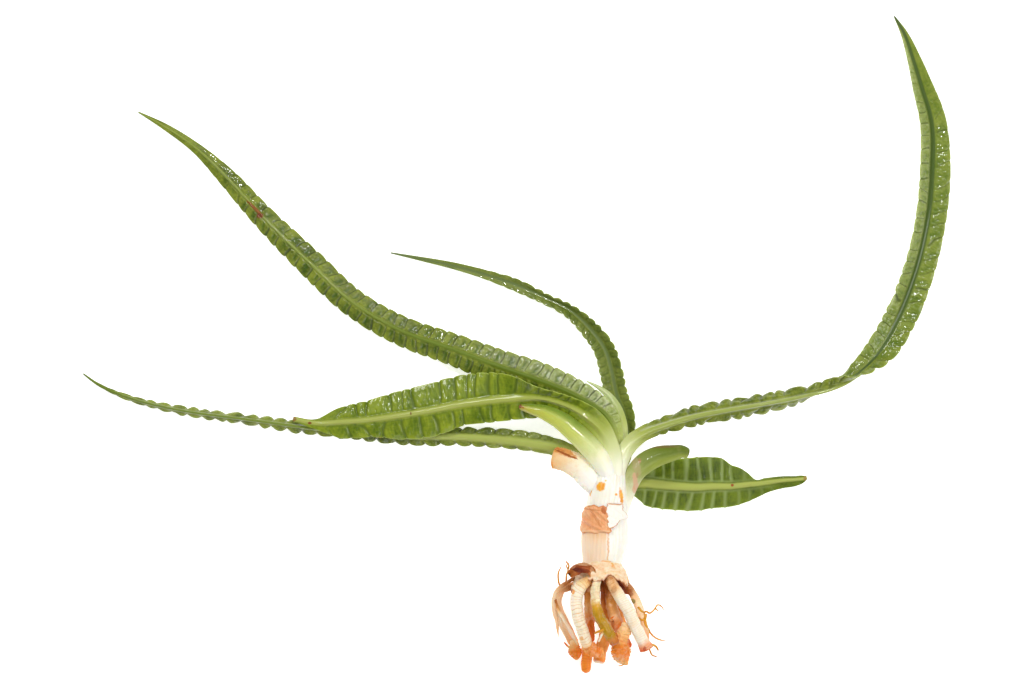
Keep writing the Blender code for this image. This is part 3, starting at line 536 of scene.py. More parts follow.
    # Offsets square to the blade: the pillow's swell with fine wrinkles, the midrib, and the edge's wave
    wrinkle_at = add(COMBINE, (TIMES, route.along, 0.7), (TIMES, across, 4.5), (TIMES, face, 4.0))
    wrinkle = add(MINUS, (NOISE, wrinkle_at, 1.0, 3.0, 0.55), 0.5)
    swell = add(PLUS, (TIMES, dome, 0.4), 0.6)
    swell = add(TIMES, swell, (RANGE, dice, 0.0, 1.0, 0.7, 1.2))
    pale = add(BETWEEN, is_left, route.pale_right, route.pale_left)
    dimple = add(TIMES, (RANGE, pale, 0.0, 1.0, 0.3, 1.0), given["Dimple"])
    swell = add(MINUS, swell, (TIMES, heart, dimple))
    swell = add(PLUS, swell, lean)
    swell = add(MINUS, swell, (TIMES, groove, 0.55))
    swell = add(PLUS, swell, (TIMES, off_middle, (RANGE, tilt, 0.0, 1.0, -0.4, 0.4)))
    swell = add(PLUS, swell, (TIMES, wrinkle, given["Wrinkle"]))
    swell = add(TIMES, swell, crest)
    edge = add(SMOOTH, reach, 0.8, 1.0, 1.0, 0.4)
    swell = add(TIMES, (TIMES, swell, route.pillow), edge)
    swell = add(TIMES, swell, given["Pillow Height"])
    swell = add(TIMES, swell, thin)
    near_rib = add(SMOOTH, out_by, 0.0, route.rib_width, 1.0, 0.0)
    body = add(TIMES, (TIMES, given["Blade Thickness"], 0.5), thin)
    rounded = add(BETWEEN, route.stem, near_rib, (ABS, y))
    core = add(TIMES, (TIMES, route.girth, rounded), 0.5)
    body = add(PLUS, body, core)
    plain = add(MINUS, 1.0, route.stem)
    ribbed = add(TIMES, near_rib, plain)
    rib = add(TIMES, ribbed, given["Rib Height"])
    rib = add(TIMES, rib, (RANGE, width, 1.0 * MM, 6.0 * MM, 0.15, 1.0))
    channel = add(TIMES, (TIMES, ribbed, given["Channel Depth"]), -1.0)
    is_keel = add(ABOVE, face, 0.0)
    extra = add(BETWEEN, is_keel, channel, rib)
    sinks = add(BELOW, route.pillow, 0.0)
    swell = add(TIMES, swell, (BETWEEN, sinks, face, 1.0))
    outward = add(TIMES, (PLUS, body, extra), face)
    outward = add(PLUS, outward, swell)
    ripple = add(SINE, (TIMES, beat, math.pi))
    ripple = add(POWER, (ABS, ripple), 0.7)
    ripple = add(MINUS, 1.1, (TIMES, ripple, 2.0))
    ripple = add(TIMES, ripple, (POWER, reach, 3.0))
    ripple = add(TIMES, ripple, (RANGE, dice, 0.0, 1.0, 0.7, 1.2))
    ripple = add(TIMES, (TIMES, ripple, route.wave), -MM)
    offset = add(PLUS, outward, ripple)

    # How far each point moves, sideways and square to the route
    level = add(PLUS, run, (TIMES, (TIMES, offset, lean_sine), hand))
    height = add(MINUS, (TIMES, offset, lean_cosine), rise)
    return finish_tree(add, tube, route, level, height, given["Material"], {
        "across": across, "along": route.along, "crest": crest, "rib": near_rib, "face": face,
        "heart": heart, "groove": groove, "cleft": cleft, "inside": inside, "wrinkle": wrinkle, "pale": pale,
        "pillowed": add(ABS, route.pillow), "green": route.green, "rib_light": route.rib_light,
    })


def leaf_material(name, blade, crease, groove, rib, channel_side, channel_rib, marks, coat, roughness):
    """Fresh wet leaf: waxy cuticle over green tissue, so a satin sheen with small glints on the pillows.
    Light and shade on the pillows, shade in the creases and grooves, and a pale sheen are painted into the
    colour as well.
    """
    add, shader, where, read = new_material(
        name, "across", "along", "crest", "rib", "face", "green", "pillowed", "rib_light", "heart", "pale",
        "wrinkle", "groove", "cleft", "inside")
    cloud = add(NOISE, where, 90.0, 3.0, 0.6)
    veins_at = add(COMBINE, (TIMES, read.along, 0.12), (TIMES, read.across, 22.0), read.face)
    veins = add(NOISE, veins_at, 1.0, 2.0, 0.6)
    flesh = add(NOISE, where, 900.0, 2.0, 0.6)
    tone = add(PLUS, (TIMES, cloud, 0.8), (TIMES, veins, 0.2))
    tone = add(RANGE, tone, 0.35, 0.65, 0.0, 0.8)
    # Painted light and shade on the pillows: lighter where the wrinkles rise and on one side of each pillow,
    # darker in its sunk heart.
    tone = add(PLUS, tone, (TIMES, read.wrinkle, 1.4))
    sunk = add(TIMES, (TIMES, read.heart, read.pillowed), 0.2)
    tone = add(MINUS, (PLUS, tone, 0.3), sunk)
    lit_side = add(SMOOTH, read.inside, 0.3, 0.7, -0.1, 0.16)
    tone = add(PLUS, tone, (TIMES, lit_side, read.pillowed))
    keel_up = add(RANGE, read.face, -0.2, 0.2, 0.0, 1.0)
    keel = add(BLEND, tone, linear(blade[0]), linear(blade[1]))
    under = add(BLEND, tone, linear(channel_side[0]), linear(channel_side[1]))
    colour = add(BLEND, keel_up, under, keel)
    # Painted shade in the creases, towards the crease colour and less so beside the midrib; on leaf_satin the
    # crease colour is light, a painted sheen on its raised creases.
    deep = add(TIMES, read.cleft, read.pillowed)
    deep = add(TIMES, deep, (RANGE, read.rib, 0.0, 0.2, 1.0, 0.0))
    # Painted shade in the soft groove of each pillow.
    groove_shade = add(TIMES, (TIMES, read.groove, 0.7), read.pillowed)
    # Painted sheen: where a pillow is pale it is painted a light grey-green in patches, lighter at its rim
    # than in its heart.
    pale = add(TIMES, read.pale, (RANGE, read.crest, 0.3, 1.0, 0.35, 1.0))
    mottled = add(RANGE, (NOISE, where, 520.0, 3.0, 0.7), 0.35, 0.65, 0.35, 1.0)
    colour = add(BLEND, (TIMES, pale, mottled), colour,
                 (BLEND, read.heart, linear("c8d294"), linear("a6b46c")))
    colour = add(BLEND, groove_shade, colour, linear(groove))
    colour = add(BLEND, (TIMES, deep, 0.8), colour, linear(crease))
    rib_keel = add(BLEND, read.rib_light, linear(rib[0]), linear(rib[1]))
    rib_colour = add(BLEND, keel_up, linear(channel_rib), rib_keel)
    colour = add(BLEND, (RANGE, read.rib, 0.15, 0.7, 0.0, 1.0), colour, rib_colour)
    # A thin light line along the edge: the margin's own paler green, with painted light where the thin edge
    # lets light through.
    rim = add(RANGE, (ABS, read.across), 0.955, 0.985, 0.0, 0.7)
    colour = add(BLEND, rim, colour, linear("a9b84e"))
    base = ramp(add(RAMP, read.green), [(0, "fdf9ee"), (0.18, "fbf6e2"), (0.3, "f0f0d0"), (0.46, "d2d898"),
                                        (0.66, "aab454"), (1, "869634")])
    share = add(SMOOTH, read.green, 0.55, 1.0, 0.0, 1.0)
    colour = add(BLEND, share, base, colour)
    colour = marked(add, where, colour, marks)
    height = add(PLUS, (TIMES, veins, 0.25), (TIMES, flesh, 0.75))
    rough = add(RANGE, cloud, 0.3, 0.7, roughness - 0.06, roughness + 0.14)
    return finish_material(add, shader, colour, rough, height, 0.2, 0.25, {
        "Specular IOR Level": 0.3, "IOR": 1.42, "Subsurface Weight": 0.1,
        "Subsurface Radius": (0.4, 1.0, 0.1), "Subsurface Scale": 0.0012,
        "Coat Weight": coat, "Coat Roughness": 0.05, "Coat IOR": 1.4,
    })


# Stalks and scraps: slot and finish, rows of the mesh, how far they bow, height of the grooves, and
# stations of x, y, z, half width and half thickness, in millimetres
STRANDS = {
    "stalk_cut_left": ("stalk_green", "stalk_yellow", 300, 1.6, 0.1, [
        (57, -92, 24, 5, 2), (56.2, -84, 25.6, 5.4, 2.4), (54, -76.5, 28.2, 5.8, 2.8),
        (48.8, -68, 30.4, 6.2, 3), (42.2, -60.2, 30.4, 6.4, 2.8), (34, -52.2, 30, 6.2, 2.4),
        (25, -45, 29.5, 5.5, 2), (16, -40.6, 28.5, 4.5, 1.6), (7.5, -38.4, 27, 3, 1.2),
        (1, -37, 25.5, 1.8, 0.8)]),
    "stalk_cut_right": ("stalk_green", "stalk_dark", 240, 1.8, 0.12, [
        (63, -100, 20.5, 3.6, 2), (64.6, -92, 23, 4.4, 2.4), (67.4, -83, 25.2, 5.2, 2.6),
        (70.6, -76.5, 26.2, 5.8, 2.6), (75.6, -71.2, 26.2, 6.3, 2.2), (82.3, -67.4, 25.5, 6.2, 1.8),
        (92, -65, 24, 5, 1.5), (99, -64.2, 22.8, 3.8, 1.2), (102.6, -65.2, 22.3, 2.8, 0.9)]),
    "sheath_stump": ("sheath_cream", "stump", 200, 2, 0.25, [
        (54.5, -96, 18, 3, 2), (50.6, -88.6, 23, 5.8, 2.4), (43.6, -80.4, 25.4, 7.2, 2.4),
        (35.5, -72.6, 24, 7.2, 1.7), (28, -69, 21.6, 6.8, 1.2), (20.6, -67.4, 19.6, 6.4, 0.8)]),
    "scale_dead": ("scale_brown", "scale", 140, -2.6, 0.6, [
        (45, -137.5, 31, 1.6, 0.8), (43.4, -134.6, 33, 2.5, 1), (39, -133.2, 33.6, 3.1, 1),
        (35, -134.6, 30.8, 3, 1), (32, -136.8, 28, 2, 0.8)]),
}

# Roots: slot and finish, height of the lumps, pitch and height of the rings, how the root ends, and
# stations of x, y, z and radius from inside the basal plate to the end
ROOTS = {
    "root_01": ("root_cream", "root_cream", 0.6, 1.1, 0.14, "cut", [
        (44, -138, 18, 1.8), (33, -144.5, 16, 2.4), (26, -147, 14, 2.7), (23.5, -153.5, 11.5, 3.1),
        (24.7, -160.5, 9, 3.3), (28, -167.5, 6.5, 3.4), (34, -179.4, 3.8, 3)]),
    "root_02": ("root_cream", "root_cream", 0.6, 1, 0.05, "point", [
        (40, -137, 22.5, 1), (31, -141.5, 22, 1.1), (23, -148, 20.5, 1.1), (21.5, -157, 18, 1.1),
        (23.5, -166, 16, 1), (24.5, -175.5, 14, 0.5)]),
    "root_03": ("root_white", "root_white", 0.6, 1.9, 0.3, "cut", [
        (46, -135, 25, 2.4), (42, -140.5, 30, 3.1), (37.5, -145, 32.6, 3.7), (35.5, -150, 33.2, 3.7),
        (36, -161, 33.3, 3.6), (39.5, -173, 30, 3.6), (41.6, -179.8, 27, 3.4)]),
    "root_04": ("root_olive", "root_olive", 1.2, 2.6, 0.06, "cut", [
        (49, -133, 27, 2), (48, -139, 32, 2.2), (46.5, -146, 34, 2.6), (46.5, -152.5, 34.8, 2.9),
        (48.5, -161.5, 34.8, 3.2), (53, -169.5, 33, 3.4), (58.2, -178.5, 29, 3)]),
    "root_05": ("root_white", "root_white_two", 0.9, 1.3, 0.1, "flare", [
        (53, -134, 26, 2.2), (55, -139.5, 31.5, 2.8), (57, -144, 33.6, 3.2), (60, -148.8, 34, 3.5),
        (66.5, -159.5, 33.8, 3.7), (70.8, -169, 31, 3.7), (77, -181.5, 26, 3.6)]),
    "root_06": ("root_brown", "root_brown", 1.2, 2.4, 0.05, "cut", [
        (46, -136, 20, 2.2), (43, -144.5, 21.2, 2.8), (43, -153.5, 22, 3), (43, -165.5, 21, 3),
        (43.5, -177.5, 18.5, 2.7)]),
    "root_07": ("root_brown", "root_brown", 1.4, 2.6, 0.05, "cut", [
        (53, -136, 21, 2.4), (55, -144.5, 22.8, 3), (56.5, -157, 23.5, 3.4), (60.5, -169, 22.5, 3.5),
        (65.5, -181.5, 18.5, 3.2)]),
    "root_08": ("root_orange", "root_orange", 0.6, 1.6, 0.12, "round", [
        (48, -137, 15, 2.4), (44.5, -158, 8.5, 2.9), (42, -177.5, 4.8, 3.2), (41.5, -188, 3.8, 3.2),
        (41.1, -193.5, 3.6, 3.1), (41, -197.2, 3.6, 2.6)]),
    "root_09": ("root_orange", "root_tan", 1, 2.2, 0.05, "cut", [
        (52, -137, 15.5, 2.4), (53, -160.5, 14, 3.3), (52.5, -173.5, 14.5, 3.6), (50, -183.5, 15, 3.6),
        (48.5, -190.8, 15, 3.5)]),
    "root_10": ("root_orange", "root_orange", 1.2, 2.4, 0.06, "cut", [
        (57, -137, 14.5, 2.2), (61, -160.5, 7.5, 2.7), (63.5, -175, 4.2, 2.8), (64, -190, 3.4, 2.4)]),
    "root_11": ("root_cream", "root_cream", 0.6, 1.2, 0.08, "point", [
        (60, -137, 22, 1.6), (68, -147.5, 24.5, 2.3), (71.4, -154, 24.5, 2.5), (74.6, -164, 23, 2.3),
        (78.4, -178, 20, 1.5)]),
}

# Papery skins peeled off the roots, as strands of x, y, z, half width and half thickness
SKINS = {
    "root_skin_1": [(33, -177, 8, 1.2, 0.4), (34, -181.5, 8.5, 3.2, 1.6), (35, -185.5, 7.5, 3.6, 2.2),
        (36, -188.8, 6, 1.4, 0.8)],
    "root_skin_2": [(38, -177, 26, 1.2, 0.5), (42.5, -180.6, 25, 3.6, 1.2), (47, -183.5, 23, 3.8, 1.5),
        (51.5, -184, 20.5, 2.2, 0.6)],
    "root_skin_3": [(64.6, -166, 30.5, 1.8, 0.9), (64.2, -170.6, 30, 3.8, 1.8),
        (61.6, -176.5, 28.5, 3.8, 1.6), (61.4, -181.5, 26, 5.2, 1.8), (62.5, -186, 23, 5.4, 1.6),
        (65.5, -191.6, 19.5, 1.2, 0.5)],
}

# Fine side roots: x, y, z
ROOTLETS = {
    "rootlet_1": [(75.4, -160.4, 23.8), (76.8, -159.6, 23.2), (79, -160.6, 22), (80.5, -159.8, 21),
        (82, -158.2, 20), (83.8, -155.8, 19), (86, -156.6, 17), (87.6, -158.6, 16), (89.6, -159.6, 15)],
    "rootlet_2": [(78.5, -171, 21.5), (80.4, -173.6, 20.5), (82.5, -175.4, 18.5), (85.5, -176.8, 15.5),
        (87.5, -177.2, 13.5), (89.8, -177.6, 12)],
    "rootlet_3": [(26.5, -145, 15), (25, -143.4, 16), (24.4, -140, 17), (24.6, -136, 18),
        (25.8, -133.5, 18), (26.4, -131, 18)],
    "rootlet_4": [(28.4, -144, 16), (29, -142, 17), (29.3, -138, 18.5), (30.2, -134.6, 20),
        (29.2, -132.4, 20.2), (31.4, -130, 20.4)],
}

# Fine twigs and loose strands that belong to a piece: finish, first and last radius, then x, y, z
TWIGS = {
    "root_02": [("root_white", 1, 0.8, [(22.3, -152.5, 19.6), (24.8, -159.5, 14.5), (28.3, -165.5, 12),
            (32, -171.5, 10.6), (34.4, -176, 10), (36.4, -180.2, 10)])],
    "root_04": [("thread", 1, 0.6, [(52.4, -169.2, 34.4), (50.4, -170.6, 36), (48.3, -171.2, 35.8),
            (45.8, -172.3, 35)]),
        ("root_white", 0.8, 0.6, [(51.4, -170.4, 34.6), (50.4, -172.6, 34.8), (49.6, -174.5, 33.8),
            (48.3, -177.5, 32)])],
    "root_05": [("thread", 0.8, 0.5, [(79, -179.4, 27), (81.9, -179.8, 27), (83.2, -181, 26),
            (84.1, -182.8, 25)]),
        ("thread", 0.6, 0.4, [(78.6, -181.5, 26), (79.4, -183.5, 24), (80.4, -185.6, 22),
            (83.2, -186.7, 20.5)])],
    "root_07": [("root_brown", 0.8, 0.4, [(56.9, -165.2, 26.4), (55.4, -164.2, 29), (57.4, -162.4, 30)])],
    "root_skin_1": [("root_brown", 0.9, 0.5, [(33.6, -183, 7), (30.9, -181.5, 6.6), (27.9, -178.5, 6.5)]),
        ("root_brown", 0.8, 0.5, [(34, -181.4, 8.6), (31.4, -182.4, 7.6), (30.7, -185, 6.2)])],
    "root_skin_3": [("thread", 0.5, 0.3, [(62.4, -187, 22.4), (64, -190.4, 20.8), (62.6, -191.8, 20),
            (60.4, -192.2, 19.4)])],
    "rootlet_1": [("thread", 0.5, 0.35, [(82.4, -157.6, 19.8), (83.2, -158.6, 19.2), (84.3, -159.4, 18.6)]),
        ("thread", 0.9, 0.6, [(72, -156.6, 26.2), (74.2, -159.4, 25.6), (75.8, -160.6, 24)])],
    "rootlet_2": [("thread", 1, 0.7, [(76.6, -161, 24.2), (76.2, -164.6, 24.8), (76.8, -168, 23.8),
            (78.7, -171.2, 21.4)]),
        ("thread", 0.7, 0.5, [(72.2, -163.7, 25.2), (74.6, -164.6, 25.8), (76.6, -163.2, 24.6)])],
    "rootlet_4": [("thread", 0.55, 0.4, [(30.3, -134.2, 20), (30.7, -132.4, 20.4), (29, -129.6, 20.6)])],
}

# Neck and basal plate: x, y, z, half width and half height of each ring, from the top down
NECK = [
    (57.4, -70, 20, 1.5, 2.5), (57.2, -72, 20, 5.4, 5.6), (56.8, -76, 19.8, 9.4, 9.2),
    (56.2, -80.5, 19.6, 11.4, 11), (55.4, -86, 19.5, 12.4, 12.2), (54.7, -91.5, 19.5, 12.4, 12.6),
    (53.6, -98, 19.5, 12.9, 12.6), (52.9, -104, 19.5, 13.6, 12.6), (52.6, -112, 19.5, 14, 12.7),
    (52.4, -121, 19.5, 14, 12.8), (51.8, -127, 19.5, 12.8, 12.2), (50.8, -131, 19.5, 11.6, 11.6),
]
PLATE = [
    (51.4, -126.6, 19.5, 5, 8), (51, -127.8, 19.5, 7.4, 10.6), (50.4, -130.4, 19.5, 10.8, 12.8),
    (49.9, -134.6, 19.5, 14.4, 14.6), (50, -140.4, 19.5, 16.4, 15.7), (50.2, -145, 19.5, 17.8, 16.2),
    (50.6, -149.6, 19.5, 19.4, 16.4),
]
NECK_TOP_Z = 19.5         # height of the neck's axis
NECK_RADIUS = 14.0        # at its thickest, for lengths round it
HOLLOW_Y = -136.0         # bottom of the hollow in the basal plate

# Where the basal plate's rim stands: angle from +X in degrees, and y
RIM = [(0, -149.5), (12, -148.5), (25, -145.5), (48, -141.5), (62, -139), (75, -137.5), (85, -141),
       (100, -141.5), (118, -141), (135, -142.5), (160, -147), (200, -148), (270, -148.5), (330, -149.5),
       (360, -149.5)]

# Rusty stains on the neck, as ovals of x, y, half width, half length and lean
NECK_STAINS = [(49.7, -84.8, 2.6, 3.1, 25), (43.7, -88, 0.7, 2.7, 10), (58.9, -89.5, 0.8, 0.8, 0),
               (52.7, -81.3, 0.6, 0.6, 0), (61.9, -90.6, 1.1, 4.6, -8)]

# Torn sheaths on the neck: y, and the angles round the neck, in degrees, that the sheath covers there
SHEATHS = {
    "sheath_tan": {"slot": "sheath_tan", "rows": [
        (-96.2, 100, 150), (-97.2, 95, 172), (-99.5, 88, 190), (-103, 86, 200), (-106, 84, 203),
        (-109, 80, 196), (-111.6, 76, 184), (-112.4, 84, 150)]},
    "sheath_white": {"slot": "sheath_white", "rows": [
        (-95, 56, 88), (-95.6, 48, 92), (-99, 46, 94), (-101, 34, 94), (-102.6, 26, 94), (-103.8, 28, 92),
        (-104.8, 54, 90), (-107.5, 62, 88), (-109.6, 72, 84)]},
}


def strand_tree():
    """Grows a closed fleshy strand along a route: a stalk, a ringed root, or a thin crumpled scrap."""
    add, given, tube, (x, y, share), route = new_tree("Fleshy Strand", {
        "Around": 64, "Rows": 200, "Ring Pitch": 1.2, "Ring Height": 0.0, "Crease Width": 0.2,
        "Lump Size": 5.0, "Lump Height": 0.2 * MM, "Groove Height": 0.1 * MM, "Bow": 0.0, "Raggedness": 0.0,
        "Seed": 0.0,
    }, ("wide", "thick", "along"))
    along = route.along
    apart = add(COMBINE, given["Seed"], 0.0, 0.0)

    # Rings, none of them quite square to the strand
    loose_at = add(COMBINE, (TIMES, along, 0.22), (TIMES, x, 0.5), (TIMES, y, 0.5))
    loose = add(NOISE, (V_PLUS, loose_at, apart), 1.0, 1.0, 0.5)
    beat = add(OVER, along, given["Ring Pitch"])
    beat = add(PLUS, beat, (TIMES, loose, 2.0))
    dice_at = add(COMBINE, (FLOOR, beat), given["Seed"], 0.0)
    dice = add(DICE, dice_at)
    off_middle = add(MINUS, (FRACTION, beat), 0.5)
    from_crease = add(MINUS, 0.5, (ABS, off_middle))
    crest = add(SMOOTH, from_crease, 0.0, given["Crease Width"], 0.0, 1.0)
    cut_in = add(TIMES, (MINUS, crest, 1.0), (RANGE, given["Ring Height"], 0.0, 0.1 * MM, 0.0, 1.0))
    crest = add(PLUS, 1.0, cut_in)
    ring = add(TIMES, cut_in, (RANGE, dice, 0.0, 1.0, 0.25, 1.2))
    ring = add(TIMES, ring, given["Ring Height"])

    # Lumps, and grooves that run lengthwise
    lump_at = add(COMBINE, (OVER, along, given["Lump Size"]), x, y)
    lump_at = add(V_PLUS, lump_at, (V_PLUS, apart, (5.0, 2.0, 1.0)))
    lump = add(MINUS, (NOISE, lump_at, 1.0, 2.0, 0.5), 0.5)
    groove_at = add(COMBINE, (TIMES, along, 0.06), (TIMES, x, 5.0), (TIMES, y, 5.0))
    groove = add(NOISE, (V_PLUS, groove_at, apart), 1.0, 3.0, 0.6)
    groove = add(MINUS, groove, 0.5)
    relief = add(PLUS, (TIMES, lump, given["Lump Height"]), (TIMES, groove, given["Groove Height"]))
    relief = add(PLUS, (TIMES, relief, 2.0), ring)
    room = add(RANGE, route.thick, 0.0, 1.0 * MM, 0.15, 1.0)
    relief = add(TIMES, relief, room)

    # The outline tears in and out at the margins
    tear_at = add(COMBINE, (TIMES, along, 0.9), x, 0.0)
    tear = add(NOISE, (V_PLUS, tear_at, apart), 1.0, 3.0, 0.7)
    tear = add(TIMES, (MINUS, tear, 0.5), given["Raggedness"])
    tear = add(PLUS, tear, 1.0)
    level = add(TIMES, (TIMES, x, route.wide), tear)
    level = add(PLUS, level, (TIMES, x, relief))
    height = add(TIMES, y, (PLUS, route.thick, relief))
    bowed = add(TIMES, (TIMES, x, x), given["Bow"])
    height = add(MINUS, height, bowed)
    return finish_tree(add, tube, route, level, height, given["Material"], {
        "across": x, "above": y, "along": along, "share": share, "crest": crest, "lump": lump,
    })


def strand(name, tree, stations, step, values, end):
    """A strand that a node tree grows along the stations; its end is cut, rounded, flared or pointed."""
    places, rows = smooth_rows(stations, step)
    wide, thick = rows[:, 3], rows[:, 4]
    left = places[-1] - places
    shapes = {
        "cut": np.sqrt(np.clip(1.0 - np.clip(1.0 - left / 0.5, 0.0, 1.0) ** 2 * 0.35, 0.0, 1.0)),
        "flare": 1.0 + 0.25 * np.exp(-left / 2.0),
        "round": np.sqrt(np.clip(1.0 - np.clip(1.0 - left / wide, 0.0, 1.0) ** 2, 0.003, 1.0)),
        "point": np.clip(left / 6.0, 0.12, 1.0) ** 0.6,
    }
    shape = shapes[end]
    sides, ups = route_frames(rows[:, :3])
    carried = {"wide": wide * shape * MM, "thick": thick * shape * MM, "along": places}
    return grow(route_object(name, rows[:, :3], carried, {"side": sides, "up": ups}), tree, values)


def flesh_material(name, crease, stain, amount, stops, marks, roughness=0.42, coat=0.25, soft=0.25,
                   fibre=0.4, dark=None, blanched=0.0):
    """Wet plant flesh: pale and a little translucent, stained along the creases, under a film of water."""
    add, shader, where, read = new_material(name, "across", "above", "share", "crest", "along")
    cloud = add(NOISE, where, 160.0, 4.0, 0.65)
    fine = add(NOISE, where, 1100.0, 3.0, 0.6)
    grain_at = add(COMBINE, (TIMES, read.along, 0.15), (TIMES, read.across, 9.0), (TIMES, read.above, 9.0))
    grain = add(NOISE, grain_at, 1.0, 3.0, 0.6)
    shift = add(TIMES, (MINUS, cloud, 0.5), 0.12)
    colour = ramp(add(RAMP, (PLUS, shift, read.share)), stops)
    # Painted light and shade: from about halfway along, one side of a stalk is tinted to the given colour,
    # darker on stalk_cut_left and lighter on stalk_cut_right.
    if dark:
        code, start, end = dark
        side = add(SMOOTH, read.across, start, end, 0.0, 0.85)
        side = add(TIMES, side, (RANGE, read.share, 0.35, 0.6, 0.0, 1.0))
        colour = add(BLEND, side, colour, linear(code))
    in_crease = add(RANGE, read.crest, 0.0, 0.7, 0.75, 0.0)
    colour = add(BLEND, in_crease, colour, linear(crease))
    grown = add(RANGE, read.share, blanched, blanched + 0.15, 0.0 if blanched else 1.0, 1.0)
    patch = add(TIMES, (RANGE, cloud, 0.52, 0.68, 0.0, amount), grown)
    colour = add(BLEND, patch, colour, linear(stain))
    streak = add(TIMES, (RANGE, grain, 0.35, 0.7, 0.0, fibre * 0.5), grown)
    colour = add(BLEND, streak, colour, linear(crease))
    colour = marked(add, where, colour, marks)
    height = add(PLUS, (TIMES, grain, 0.6), (TIMES, fine, 0.4))
    rough = add(RANGE, cloud, 0.3, 0.7, roughness - 0.08, roughness + 0.14)
    return finish_material(add, shader, colour, rough, height, 0.4, 0.3, {
        "Specular IOR Level": 0.25, "Subsurface Weight": soft, "Subsurface Radius": (1.0, 0.55, 0.25),
        "Subsurface Scale": 0.002, "Coat Weight": coat * 0.8, "Coat Roughness": 0.06, "Coat IOR": 1.4,
    })


def grid_object(name, grid, material, masks):
    """A closed mesh over a grid of points in millimetres: rows joined into rings, and capped ends."""
    rows, columns, _ = grid.shape
    built = bmesh.new()
    layers = {key: built.verts.layers.float.new(key) for key in masks}
    loops = []
    for i in range(rows):
        loop = []
        for j in range(columns):
            vert = built.verts.new(((grid[i, j] - [0.0, 0.0, REST]) * MM).tolist())
            for key, layer in layers.items():
                vert[layer] = float(masks[key][i, j])
            loop.append(vert)
        loops.append(loop)
    for first, second in zip(loops, loops[1:]):
        for j in range(columns):
            k = (j + 1) % columns
            built.faces.new((first[j], first[k], second[k], second[j]))
    built.faces.new(list(reversed(loops[0])))
    built.faces.new(loops[-1])
    bmesh.ops.recalc_face_normals(built, faces=built.faces)
    mesh = bpy.data.meshes.new(name)
    built.to_mesh(mesh)
    built.free()
    mesh.shade_smooth()
    mesh.materials.append(material)
    obj = bpy.data.objects.new(name, mesh)
    bpy.context.scene.collection.objects.link(obj)
    return obj


def waves(*fields):
    """A smooth uneven field between about -1 and 1: a fixed sum of sines of the fields."""
    total = np.zeros(np.broadcast(*fields).shape)
    for k in range(1, 5):
        phase = 1.7 * k
        part = np.zeros_like(total)
        for n, field in enumerate(fields):
            part = part + field * (1.0 + 0.37 * n) * (0.6 + 0.55 * k) * (1 if (k + n) % 2 else -1)
        total += np.sin(part + phase) / k
    return total / 2.08


# Finishes of flesh: the material's name, colour of the creases, colour and strength of the stains, settings
# that aren't the usual ones, colours from the base to the end, and marks as in marked(). The "dark" setting
# paints light and shade on one side of a stalk: darker on stalk_cut_left, lighter on stalk_cut_right.
STALK_FLESH = {
    "stalk_yellow": ("Crinum stalk, yellow-green flesh", "aab858", "b2be62", 0.25,
        {"roughness": 0.3, "coat": 0.7, "soft": 0.3, "dark": ("6a8a2a", 0.1, -0.8), "blanched": 0.3}, [
        (0, "fffcf2"), (0.2, "fffaec"), (0.3, "f8f6d4"), (0.4, "e0e4a0"), (0.55, "cad26c"),
        (0.85, "bcc248"), (0.95, "b8ae44")], [
        (0.8, -36.8, 1.8, 1.6, 0, "7a3414", 0.9), (3.2, -37.6, 0.9, 0.7, 20, "a05a24", 0.8)]),
    "stalk_dark": ("Crinum stalk, green flesh", "68762a", "9c9458", 0.3,
        {"roughness": 0.44, "soft": 0.1, "dark": ("a0ac48", 0.1, -0.8), "blanched": 0.2}, [
        (0, "fffcf2"), (0.12, "fdf8e4"), (0.26, "dadab0"), (0.42, "a4ac60"), (0.55, "7e8c3a"),
        (0.72, "667818"), (0.93, "5e7012")], [
        (71, -72.5, 2.4, 6, -14, "b8a078", 0.5), (73, -69.5, 0.9, 1.6, 0, "b47850", 0.6),
        (70.6, -83, 1.6, 6.5, -10, "dca888", 0.75), (71.6, -78, 0.8, 1.8, 0, "b08860", 0.6),
        (69.6, -87, 1, 2.6, -10, "e0906c", 0.5), (84, -61, 12, 0.9, 0, "7a5a30", 0.6),
        (102.8, -66, 0.8, 2.6, 10, "6a5a24", 0.8)]),
    "stump": ("Old sheath, drying and cream", "ecc894", "e4aa64", 0.35,
        {"roughness": 0.5, "coat": 0.15, "soft": 0.3, "fibre": 0.3, "blanched": 0.5}, [
        (0, "fdf9ee"), (0.45, "fdf8ec"), (0.68, "f9ecd2"), (0.85, "f2d8ac"), (0.97, "eab878")], [
        (22.5, -62.8, 2.8, 1.8, 0, "d89044", 0.75), (26.8, -63.4, 9, 2.6, 24, "d48a3c", 0.9),
        (28.4, -65.4, 6.6, 0.7, 24, "9a4c14", 0.9), (25, -62.6, 4, 0.5, 24, "b4641c", 0.6),
        (34, -67.6, 2.2, 0.5, 26, "a85a1c", 0.9), (20.2, -71, 0.7, 4.4, -12, "e8941c", 0.95),
        (25.5, -70, 4.5, 3.5, 0, "f4cf9c", 0.5)]),
    "scale": ("Dead scale, dry and red-brown", "7a2a08", "dc9450", 0.5,
        {"roughness": 0.45, "coat": 0.4, "soft": 0.1, "fibre": 0.5}, [
        (0, "e4a45c"), (0.2, "c06c30"), (0.5, "9c4414"), (1, "c06c2c")], [
        # The first mark, near-black in the hollow under the curl, is painted shade over the scale's own
        # red-brown.
        (36.8, -134.6, 4.4, 1.5, 12, "6a2004", 0.95), (41.2, -135.4, 1.8, 1.4, 0, "7a3012", 0.8),
        (38.6, -131, 5.6, 0.9, 4, "e0a878", 0.9), (44.6, -135.6, 1.1, 3.2, -10, "d8a070", 0.85),
        (33.4, -132.6, 1.6, 1, -30, "c8845a", 0.8)]),
}


